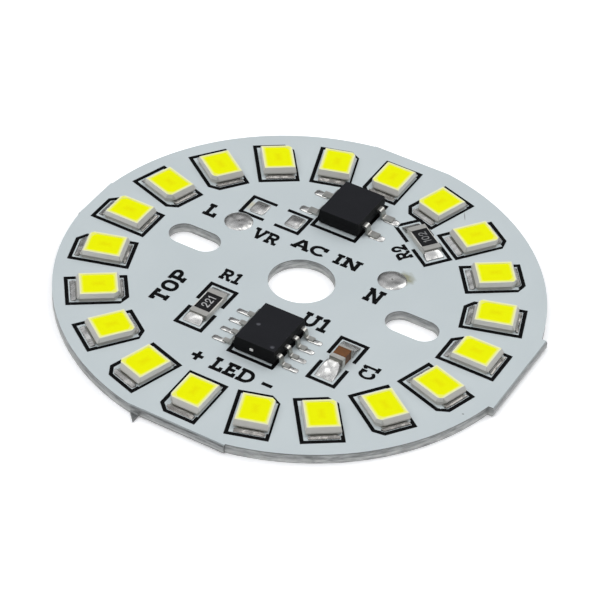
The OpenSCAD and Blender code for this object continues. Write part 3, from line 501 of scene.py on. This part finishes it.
# %% [markdown]
# ## Solder
# Solder that has flowed and set is brighter than tin plating. It keeps the round shape of a liquid, with
# small dimples and wrinkles where it froze last. Two sizes of noise give the dimples and the wrinkles. In the
# ring of LEDs it is thin and pale, and there the slopes that look to the front and the right, which mirror
# the right soft box, are painted darker: a painted shade against that reflection. How far a point lies from
# the ring's middle and which way it faces pick these two tones.

# %% Flowed solder
LED_REACH, SHADED_SIDE = 13.5, (0.8, -0.6, 0.0)
DIMPLES, WRINKLES = 1.4, 7.0

solder, tree, mm = new_material("flowed_solder")
dimples = add(tree, "TexNoise", {"Vector": mm, "Scale": DIMPLES, "Detail": 0.3})
wrinkles = add(tree, "TexNoise", {"Vector": mm, "Scale": WRINKLES, "Detail": 2.0, "Roughness": 0.5})
tone = add(tree, "Mix", {"Factor": dimples, "A": linear("#AAA9A6"), "B": linear("#C8C7C4")}, data_type="RGBA")
away = distance_from(tree, mm, (0, RING_Y, 0))
ring = add(tree, "Math", {0: away, 1: LED_REACH}, operation="GREATER_THAN")
# Painted shade: in the ring, slopes facing front and right, which mirror the right soft box, are darker.
facing = add(tree, "NewGeometry")
toward = add(tree, "VectorMath", {0: facing.outputs["Normal"], 1: SHADED_SIDE}, operation="DOT_PRODUCT")
painted_shade_slope = add(tree, "MapRange", {"Value": toward, "From Min": 0.03, "From Max": 0.15})
pale_with_painted_shade = add(tree, "Mix", {"Factor": painted_shade_slope, "A": linear("#D6D5D1"), "B": linear("#83807C")}, data_type="RGBA")
tone = add(tree, "Mix", {"Factor": ring, "A": tone, "B": pale_with_painted_shade}, data_type="RGBA")
rough = add(tree, "MapRange", {"Value": wrinkles, "To Min": 0.22, "To Max": 0.34})
large = add(tree, "Bump", {"Strength": 0.8, "Distance": 0.16 * MM, "Height": dimples})
relief = add(tree, "Bump", {"Strength": 0.12, "Distance": 0.006 * MM, "Height": wrinkles, "Normal": large})
melt = add(tree, "BsdfPrincipled", {"Base Color": tone, "Metallic": 1.0, "Roughness": rough,
                                    "Normal": relief})
add(tree, "OutputMaterial", {"Surface": melt})
print("solder beyond", LED_REACH, "mm is fluxed")

# %% [markdown]
# ## Mould compound
# The two packages are moulded from black epoxy that is mostly ground quartz. The mould was eroded by sparks,
# so the skin has a fine even grit. Faces that look up are painted dark slate and the walls nearly black:
# painted light and painted shade on one epoxy. A thin line runs round the walls at half height, where the
# mould's two halves met, and their top edge is painted a little paler, a painted highlight. The way a face
# points picks top or wall, and its height places the two lines. Two pins that pushed the driver out of its
# mould have left small pale dots on its top.

# %% Black epoxy of the packages
DRIVER_LOW, DRIVER_HIGH = (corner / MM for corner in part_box("driver_body"))
LID = DRIVER_HIGH.z
DOTS = [(DRIVER_LOW.x + 0.9, DRIVER_HIGH.y - 2.6, LID), (DRIVER_HIGH.x - 0.5, DRIVER_LOW.y + 0.5, LID)]
GRIT, FLOW = 14.0, 0.7

compound, tree, mm = new_material("black_mould_compound")
grit = add(tree, "TexNoise", {"Vector": mm, "Scale": GRIT, "Detail": 3.0, "Roughness": 0.7})
cloud = add(tree, "TexNoise", {"Vector": mm, "Scale": FLOW, "Detail": 2.0})
# Painted light and shade: faces that look up are painted slate, walls nearly black.
painted_lit_slate = add(tree, "Mix", {"Factor": cloud, "A": linear("#0F1015"), "B": linear("#16171C")}, data_type="RGBA")
wall = add(tree, "Mix", {"Factor": cloud, "A": linear("#040406"), "B": linear("#09090B")}, data_type="RGBA")
level = add(tree, "MapRange", {"Value": upward(tree), "From Min": 0.5, "From Max": 0.9})
tone = add(tree, "Mix", {"Factor": level, "A": wall, "B": painted_lit_slate}, data_type="RGBA")
at = add(tree, "SeparateXYZ", {"Vector": mm})
# The second line paints the top edge of the walls paler: a painted highlight.
for height, width, colour in ((PARTING, 0.05, "#050506"), (LID, 0.06, "#2C2D31")):
    gap = add(tree, "Math", {0: at.outputs["Z"], 1: height}, operation="SUBTRACT")
    off = add(tree, "Math", {0: gap}, operation="ABSOLUTE")
    near = add(tree, "MapRange", {"Value": off, "From Min": width, "From Max": width / 2})
    only = add(tree, "Math", {0: near, 1: level}, operation="SUBTRACT", use_clamp=True)
    tone = add(tree, "Mix", {"Factor": only, "A": tone, "B": linear(colour)}, data_type="RGBA")
for place in DOTS:
    away = distance_from(tree, mm, place)
    pin = add(tree, "MapRange", {"Value": away, "From Min": 0.22, "From Max": 0.12})
    tone = add(tree, "Mix", {"Factor": pin, "A": tone, "B": linear("#515257")}, data_type="RGBA")
rough = add(tree, "MapRange", {"Value": grit, "To Min": 0.50, "To Max": 0.68})
relief = add(tree, "Bump", {"Strength": 0.5, "Distance": 0.012 * MM, "Height": grit})
epoxy = add(tree, "BsdfPrincipled", {"Base Color": tone, "Roughness": rough, "IOR": 1.55,
                                     "Specular IOR Level": 0.17, "Normal": relief})
add(tree, "OutputMaterial", {"Surface": epoxy})
print("driver's top", round(LID, 2), "mm up, dots:", len(DOTS))

# %% [markdown]
# ## Ceramics and glaze
# A chip resistor is a slip of white alumina with a black glassy coat on top. The capacitor is a block of
# brown fired ceramic with thin layers inside, and it is darker along some of its edges.

# %% White alumina
SINTER = 4.0

alumina, tree, mm = new_material("fired_alumina")
cloud = add(tree, "TexNoise", {"Vector": mm, "Scale": SINTER, "Detail": 4.0})
tone = add(tree, "Mix", {"Factor": cloud, "A": linear("#CFCDC5"), "B": linear("#E0DED7")}, data_type="RGBA")
relief = add(tree, "Bump", {"Strength": 0.4, "Distance": 0.01 * MM, "Height": cloud})
fired = add(tree, "BsdfPrincipled", {"Base Color": tone, "Roughness": 0.6, "IOR": 1.76, "Normal": relief})
add(tree, "OutputMaterial", {"Surface": fired})
print("alumina ready")

# %% Black glaze
GLAZE_FLOW = 2.5

glaze, tree, mm = new_material("black_resistor_glaze")
flow = add(tree, "TexNoise", {"Vector": mm, "Scale": GLAZE_FLOW, "Detail": 3.0})
tone = add(tree, "Mix", {"Factor": flow, "A": linear("#08080A"), "B": linear("#101012")}, data_type="RGBA")
relief = add(tree, "Bump", {"Strength": 0.4, "Distance": 0.02 * MM, "Height": flow})
glassy = add(tree, "BsdfPrincipled", {"Base Color": tone, "Roughness": 0.4, "IOR": 1.5,
                                      "Specular IOR Level": 0.2, "Normal": relief})
add(tree, "OutputMaterial", {"Surface": glassy})
print("glaze ready")

# %% Brown ceramic
LAYERS, LAYER_WAVES = (1.5, 1.5, 9.0), 1.6

brown, tree, mm = new_material("brown_fired_ceramic")
layers = add(tree, "Mapping", {"Vector": mm, "Scale": LAYERS})
bands = add(tree, "TexNoise", {"Vector": layers, "Scale": LAYER_WAVES, "Detail": 4.0})
tone = add(tree, "Mix", {"Factor": bands, "A": linear("#482C0A"), "B": linear("#804C1A")}, data_type="RGBA")
relief = add(tree, "Bump", {"Strength": 0.4, "Distance": 0.015 * MM, "Height": bands})
block = add(tree, "BsdfPrincipled", {"Base Color": tone, "Roughness": 0.45, "IOR": 1.6,
                                     "Specular IOR Level": 0.3, "Normal": relief})
add(tree, "OutputMaterial", {"Surface": block})
print("brown ceramic ready")

# %% [markdown]
# ## Dress the solids
# Each CAD node came in with a plain material named after its slot in the record. The finish made for that
# slot takes its place, so every node is dressed once and none is missed.

# %% Give every node its finish
FINISH = {"aluminium": aluminium, "white_lacquer": lacquer, "black_ink": ink, "white_plastic": plastic,
          "phosphor": phosphor, "tinned_copper": tin, "solder": solder, "mould_compound": compound,
          "white_ceramic": alumina, "black_glaze": glaze, "brown_ceramic": brown}
dressed = {}
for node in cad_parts.values():
    for place in node.material_slots:
        slot_name = place.material.name.split(".")[0]
        place.material = FINISH[slot_name]
        dressed[slot_name] = dressed.get(slot_name, 0) + 1
print("dressed:", dressed)

# %% [markdown]
# ## Smooth solder
# The CAD model draws solder with flat steps and hips, but liquid metal has none. A copy of the joints is
# welded into whole skins, remade on an even grid, and let sag by a Smooth modifier, which pulls every point
# towards its neighbours as the tension of the melt would. The two empty pads are so low that shading them as
# one curve is enough. Each copy takes the place of its original.

# %% Melt the joints and the empty pads
GRID, WELD = 0.041, 0.0005
SAG, SAG_STEPS = 0.5, 3
CUSHION_CREASE = math.radians(60)


def worked_copy(name, node_name):
    """A welded copy of a CAD node, selected and active, that will stand for it."""
    bpy.ops.object.select_all(action="DESELECT")
    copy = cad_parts[node_name].copy()
    copy.data = copy.data.copy()
    copy.name = name
    bpy.context.scene.collection.objects.link(copy)
    copy.select_set(True)
    bpy.context.view_layer.objects.active = copy
    bpy.ops.object.mode_set(mode="EDIT")
    bpy.ops.mesh.select_all(action="SELECT")
    bpy.ops.mesh.remove_doubles(threshold=WELD * MM)
    bpy.ops.mesh.normals_make_consistent(inside=False)
    bpy.ops.object.mode_set(mode="OBJECT")
    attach(copy, "root")
    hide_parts(node_name)
    return copy


joints = worked_copy("set_joints", "solder_joints")
even = joints.modifiers.new("even_grid", "REMESH")
even.mode, even.voxel_size = "VOXEL", GRID * MM
bpy.ops.object.modifier_apply(modifier="even_grid")
tension = joints.modifiers.new("tension", "SMOOTH")
tension.factor, tension.iterations = SAG, SAG_STEPS
bpy.ops.object.modifier_apply(modifier="tension")
bpy.ops.object.shade_smooth()

cushions = worked_copy("set_varistor_pads", "varistor_pads")
bpy.ops.object.shade_smooth_by_angle(angle=CUSHION_CREASE)
print("joints:", len(joints.data.polygons), "faces, empty pads:", len(cushions.data.polygons), "faces")

# %% [markdown]
# ## Tinned wire pads
# Both wire pads were tinned and never used. The solder stands as a low round cushion with a faint ring inside
# its edge and a pinhole in the middle, where it froze last. A round thing is best turned: half of its
# outline is drawn by extruding one point, and then spun round the axis. Ripples that are different on each
# pad come from a Displace modifier that only moves the top.

# %% Turn the two pads
OUTLINE = [(0, 0), (1.2, 0), (1.2, 0.02), (1.12, 0.065), (1.02, 0.1), (0.92, 0.125), (0.82, 0.143),
           (0.72, 0.153), (0.6, 0.157), (0.5, 0.152), (0.38, 0.156), (0.2, 0.152), (0.08, 0.15), (0.06, 0.04),
           (0, 0.03)]
TURN_STEPS, SHOULDER, PAD_CREASE = 72, 0.07, math.radians(35)
# Name, CAD node, width and depth of the ripples
PADS = [("tinned_pad_line", "wire_pad_line", 0.6, 0.06),
        ("tinned_pad_neutral", "wire_pad_neutral", 0.9, 0.02)]


def turned_pad(name, node_name, grain, depth):
    """Turns a tinned pad of this outline in place of a CAD pad, with ripples so wide and so deep."""
    low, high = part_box(node_name)
    bpy.ops.object.select_all(action="DESELECT")
    bpy.ops.mesh.primitive_plane_add()
    pad = bpy.context.object
    pad.name = name
    bpy.ops.object.mode_set(mode="EDIT")
    bpy.ops.mesh.select_mode(type="VERT")
    bpy.ops.mesh.select_all(action="SELECT")
    bpy.ops.mesh.merge(type="CENTER")
    for start, end in zip(OUTLINE, OUTLINE[1:]):
        move = (end[0] - start[0], 0, end[1] - start[1])
        bpy.ops.mesh.extrude_region_move(TRANSFORM_OT_translate={"value": move})
    bpy.ops.mesh.select_all(action="SELECT")
    bpy.ops.mesh.spin(steps=TURN_STEPS, angle=2 * math.pi, center=(0, 0, 0), axis=(0, 0, 1))
    bpy.ops.mesh.select_all(action="SELECT")
    bpy.ops.mesh.remove_doubles(threshold=WELD)
    bpy.ops.mesh.normals_make_consistent(inside=False)
    bpy.ops.object.mode_set(mode="OBJECT")
    top = pad.vertex_groups.new(name="top")
    top.add([v.index for v in pad.data.vertices if v.co.z > SHOULDER], 1.0, "REPLACE")
    ripples = bpy.data.textures.new(name, "CLOUDS")
    ripples.noise_scale = grain
    push = pad.modifiers.new("ripples", "DISPLACE")
    push.texture, push.vertex_group, push.direction, push.strength = ripples, "top", "Z", depth
    bpy.ops.object.modifier_apply(modifier="ripples")
    pad.scale = (MM, MM, MM)
    pad.location = ((low.x + high.x) / 2, (low.y + high.y) / 2, low.z)
    bpy.ops.object.transform_apply(location=True, rotation=True, scale=True)
    bpy.ops.object.shade_smooth_by_angle(angle=PAD_CREASE)
    pad.data.materials.append(solder)
    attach(pad, "root")
    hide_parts(node_name)
    return pad


for name, node_name, grain, depth in PADS:
    print(name, len(turned_pad(name, node_name, grain, depth).data.polygons), "faces")

# %% [markdown]
# ## A broad pen
# The printed letters are bold, with flat bars at the ends of their stems. Such letters are drawn with a broad
# pen, so this pen is modelled: a small square of ink is laid down, its leading edge is extruded along the
# stroke, and spun round a centre where the stroke bends. Letters are drawn with a height of 1, and a thinner
# nib serves the small figures on the resistors.

# %% Pen strokes by extrude and spin
NIB, THIN = 0.21, 0.13
SLACK = 0.001
STEP_DEGREES, FEWEST_STEPS = 15, 4


def lead(mesh_data, point, heading):
    """Selects the edge of the newest ink that lies furthest along the pen's way."""
    ink_mesh = bmesh.from_edit_mesh(mesh_data)
    fresh = [v for v in ink_mesh.verts if v.select]
    far = max((v.co - point).dot(heading) for v in fresh)
    for v in fresh:
        v.select = (v.co - point).dot(heading) > far - SLACK
    ink_mesh.select_flush_mode()
    bmesh.update_edit_mesh(mesh_data)


def stroke(mesh_data, nib, x, y, degrees, moves):
    """One stroke from (x, y): a number goes straight on, a pair (radius, degrees) bends, left if above 0."""
    turn = math.radians(degrees)
    heading = Vector((math.cos(turn), math.sin(turn), 0))
    point = Vector((x, y, 0))
    bpy.ops.mesh.select_all(action="DESELECT")
    bpy.ops.mesh.primitive_plane_add(size=nib, location=point + heading * nib / 2, rotation=(0, 0, turn))
    lead(mesh_data, point, heading)
    laid = nib
    for move in moves:
        if isinstance(move, tuple):
            radius, bend = move[0], math.radians(move[1])
            left = Vector((-heading.y, heading.x, 0)) * math.copysign(radius, bend)
            centre = point + heading * laid + left
            steps = max(FEWEST_STEPS, round(abs(move[1]) / STEP_DEGREES))
            bpy.ops.mesh.spin(steps=steps, angle=-bend, center=centre, axis=(0, 0, 1))
            swing = Matrix.Rotation(bend, 3, "Z")
            point, heading, laid = centre - swing @ left, swing @ heading, 0.0
        else:
            bpy.ops.mesh.extrude_region_move(TRANSFORM_OT_translate={"value": heading * (move - laid)})
            point, laid = point + heading * move, 0.0


print("pen nibs", NIB, "and", THIN, "of a letter's height")

# %% [markdown]
# ## The letters
# A letter is its width and a few strokes. Each stroke gives where it starts, which way it heads in degrees,
# and its moves. Short bars at the ends of the stems make the flat serifs that the legend has. A drawn letter
# is closed into one clean outline, so that no stroke lies on top of another.

# %% Draw each letter once
H, B = 1.0, NIB / 2
BOWL, ROUND, OVAL = 0.2, 0.5 - B, 0.26
CLOSE = 0.002
LETTERS = {
    "L": (0.84, [(0.26, 0, 90, [H]), (0.04, B, 0, [0.78]), (0.8 - B, 0.02, 90, [0.34]),
                 (0.06, H - B, 0, [0.4])]),
    "N": (1.06, [(0.22, 0, 90, [H]), (0.84, 0, 90, [H]), (0.2, 0.98, -57, [1.13]), (0.02, B, 0, [0.4]),
                 (0.02, H - B, 0, [0.3]), (0.64, H - B, 0, [0.4])]),
    "V": (1.0, [(0.16, 0.98, -70.5, [1.0]), (0.84, 0.98, -109.5, [1.0]), (0, H - B, 0, [0.36]),
                (0.64, H - B, 0, [0.36])]),
    "R": (0.96, [(0.22, 0, 90, [H]), (0.04, H - B, 0, [0.5, (BOWL, -180), 0.3]), (0.46, 0.54, -57, [0.58]),
                 (0.04, B, 0, [0.38]), (0.66, B, 0, [0.28])]),
    "U": (1.06, [(0.22, H, -90, [H - B - 0.31, (0.31, 180), H - B - 0.31]), (0.02, H - B, 0, [0.4]),
                 (0.64, H - B, 0, [0.4])]),
    "C": (0.94, [(0.857, 0.769, 155, [NIB, (ROUND, 255)]), (0.82, 0.62, 90, [0.36])]),
    "A": (1.04, [(0.14, 0.02, 69.5, [1.0]), (0.9, 0.02, 110.5, [1.0]), (0.26, 0.3, 0, [0.5]),
                 (0, B, 0, [0.36]), (0.68, B, 0, [0.36])]),
    "I": (0.5, [(0.25, 0, 90, [H]), (0.05, B, 0, [0.4]), (0.05, H - B, 0, [0.4])]),
    "E": (0.86, [(0.24, 0, 90, [H]), (0.04, H - B, 0, [0.74]), (0.3, 0.5, 0, [0.34]), (0.04, B, 0, [0.78]),
                 (0.76 - B, H - 0.02, -90, [0.28]), (0.8 - B, 0.02, 90, [0.3])]),
    "D": (0.96, [(0.24, 0, 90, [H]), (0.04, H - B, 0, [0.46, (ROUND, -180), 0.44])]),
    "T": (0.92, [(0.46, 0, 90, [H]), (0.04, H - B, 0, [0.84]), (0.26, B, 0, [0.4]),
                 (0.06 + B, H - 0.02, -90, [0.3]), (0.86 - B, H - 0.02, -90, [0.3])]),
    "O": (0.88, [(0.73, 0.5 - NIB / 2, 90, [NIB, (0.29, 180), NIB, (0.29, 180)])]),
    "P": (0.88, [(0.24, 0, 90, [H]), (0.04, H - B, 0, [0.5, (0.22, -180), 0.3]), (0.06, B, 0, [0.38])]),
    "1": (0.66, [(0.36, 0, 90, [H]), (0.08, B, 0, [0.56]), (0.38, 0.95, 208, [0.32])]),
    "2": (0.84, [(0.15, 0.445, 90, [NIB, (0.24, -226), 0.54]), (0.06, B, 0, [0.7])]),
    "+": (0.9, [(0.1, 0.5, 0, [0.7]), (0.45, 0.15, 90, [0.7])]),
    "-": (0.8, [(0.08, 0.5, 0, [0.64])]),
}
DIGITS = {
    "0": (0.86, [(0.39 + OVAL, 0.35, 90, [0.3, (OVAL, 180), 0.3, (OVAL, 180)])]),
    "1": (0.5, [(0.3, 0, 90, [H]), (0.31, 0.93, 225, [0.26])]),
    "2": (0.84, [(0.14, 0.555, 90, [THIN, (0.25, -225), 0.62]), (0.07, THIN / 2, 0, [0.66])]),
}


def draw_letter(strokes, nib):
    """Draws one letter of height 1 with a pen as a single closed slab of ink, 1 high."""
    bpy.ops.object.select_all(action="DESELECT")
    bpy.ops.mesh.primitive_plane_add()
    letter = bpy.context.object
    letter.name = "letter"
    bpy.ops.object.mode_set(mode="EDIT")
    bpy.ops.mesh.delete(type="VERT")
    bpy.ops.mesh.select_mode(type="VERT")
    for x, y, degrees, moves in strokes:
        stroke(letter.data, nib, x, y, degrees, moves)
    bpy.ops.mesh.select_all(action="SELECT")
    bpy.ops.mesh.remove_doubles(threshold=CLOSE)
    bpy.ops.mesh.normals_make_consistent(inside=False)
    bpy.ops.mesh.extrude_region_move(TRANSFORM_OT_translate={"value": (0, 0, 1)})
    bpy.ops.mesh.select_all(action="SELECT")
    bpy.ops.mesh.normals_make_consistent(inside=False)
    bpy.ops.mesh.intersect_boolean(operation="UNION", use_self=True, solver="EXACT")
    bpy.ops.object.mode_set(mode="OBJECT")
    return letter


masters = {sign: (width, draw_letter(strokes, NIB)) for sign, (width, strokes) in LETTERS.items()}
figures = {sign: (width, draw_letter(strokes, THIN)) for sign, (width, strokes) in DIGITS.items()}
print("letters:", {sign: len(letter.data.polygons) for sign, (width, letter) in masters.items()})

# %% [markdown]
# ## Words on the board
# A word is set from copies of the drawn letters, each with its own mesh, joined and laid flat on the lacquer.
# The marks are the plain ones that any such board has: the two mains terminals, the parts' letters and
# numbers, where the mains comes in, which side is up, and the poles of the LED chain.

# %% Set the words
SPACE = 0.5
INK_LAYER = (COAT_TOP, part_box("legend_ink")[1].z)
# Name, word, left end of the base line, length and height in millimetres, turn in degrees
WORDS = [("mark_line", "L", (-11.4, 3.05), (1.25, 1.6), 0),
         ("mark_neutral", "N", (5.1, 0.75), (1.5, 1.7), 0),
         ("mark_varistor", "VR", (-6.5, 2.65), (2.4, 1.4), 0),
         ("mark_resistor_1", "R1", (-5.95, -3.35), (1.85, 1.35), 0),
         ("mark_driver", "U1", (2.3, -4.65), (2.4, 1.65), 0),
         ("mark_capacitor", "C1", (10.6, -7.6), (1.7, 1.4), 90),
         ("mark_resistor_2", "R2", (6.2, 7.75), (1.9, 1.35), 144),
         ("mark_mains", "AC IN", (-3.1, 3.45), (6.3, 1.3), 0),
         ("mark_chain", "+ LED -", (-2.9, -13.15), (7.45, 1.5), 0),
         ("mark_side", "TOP", (-7.85, -8.6), (4.4, 1.45), 90)]


def set_word(name, case, word, place, size, degrees, layer, finish):
    """Sets a word from a case of type at a place in millimetres, between two heights in metres."""
    bpy.ops.object.select_all(action="DESELECT")
    widths = [SPACE if sign == " " else case[sign][0] for sign in word]
    stretch = size[0] / sum(widths)
    run, copies = 0.0, []
    for sign, width in zip(word, widths):
        if sign != " ":
            copy = case[sign][1].copy()
            copy.data = copy.data.copy()
            bpy.context.scene.collection.objects.link(copy)
            copy.location = (run * stretch, 0, 0)
            copy.scale = (stretch, size[1], 1)
            copy.select_set(True)
            copies.append(copy)
        run += width
    bpy.context.view_layer.objects.active = copies[0]
    bpy.ops.object.transform_apply(location=True, rotation=True, scale=True)
    if len(copies) > 1:
        bpy.ops.object.join()
    piece = bpy.context.object
    piece.name = name
    piece.scale = (MM, MM, layer[1] - layer[0])
    piece.rotation_euler = (0, 0, math.radians(degrees))
    piece.location = (place[0] * MM, place[1] * MM, layer[0])
    bpy.ops.object.transform_apply(location=True, rotation=True, scale=True)
    piece.data.materials.append(finish)
    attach(piece, "root")
    return piece


for name, word, place, size, degrees in WORDS:
    piece = set_word(name, masters, word, place, size, degrees, INK_LAYER, ink)
    print(name, len(piece.data.polygons), "faces")

# %% [markdown]
# ## Numbers on the resistors
# A chip resistor carries its value as a printed number on the black coat, in a thin pale paint. The numbers
# here are plain ones. Each is set with the thin figures along the resistor's length, a hair above the coat.
# The number on the resistor at the back is rubbed, so the paint fades from the front of the board to the
# back.

# %% Print the resistor numbers
PAINT, WEAR = 0.012, 5.0
SOUND_TO, RUBBED_FROM = -1.0, 1.0
NUMBER_SIZE = (1.44, 0.72)
NUMBERS = [("value_resistor_1", "resistor_1_overcoat", "221", 90),
           ("value_resistor_2", "resistor_2_overcoat", "102", 144)]

marking, tree, mm = new_material("pale_marking_paint")
worn = add(tree, "TexNoise", {"Vector": mm, "Scale": WEAR, "Detail": 3.0})
tone = add(tree, "Mix", {"Factor": worn, "A": linear("#8E8F90"), "B": linear("#D4D4D2")}, data_type="RGBA")
at = add(tree, "SeparateXYZ", {"Vector": mm})
rubbed = add(tree, "MapRange", {"Value": at.outputs["Y"], "From Min": SOUND_TO, "From Max": RUBBED_FROM,
                                "To Max": 0.55})
tone = add(tree, "Mix", {"Factor": rubbed, "A": tone, "B": linear("#1A1A1C")}, data_type="RGBA")
dry = add(tree, "BsdfPrincipled", {"Base Color": tone, "Roughness": 0.6})
add(tree, "OutputMaterial", {"Surface": dry})

for name, node_name, word, degrees in NUMBERS:
    low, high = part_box(node_name)
    middle = (low + high) / 2 / MM
    turn = Matrix.Rotation(math.radians(degrees), 2)
    start = Vector(middle[:2]) - turn @ Vector(NUMBER_SIZE) / 2
    layer = (high.z, high.z + PAINT * MM)
    piece = set_word(name, figures, word, start, NUMBER_SIZE, degrees, layer, marking)
    print(name, len(piece.data.polygons), "faces")

# %% [markdown]
# ## Put the masters away
# The drawn letters have been copied wherever they are needed, so the masters themselves leave the scene.

# %% Clear the masters
for _, letter in [*masters.values(), *figures.values()]:
    bpy.data.objects.remove(letter)
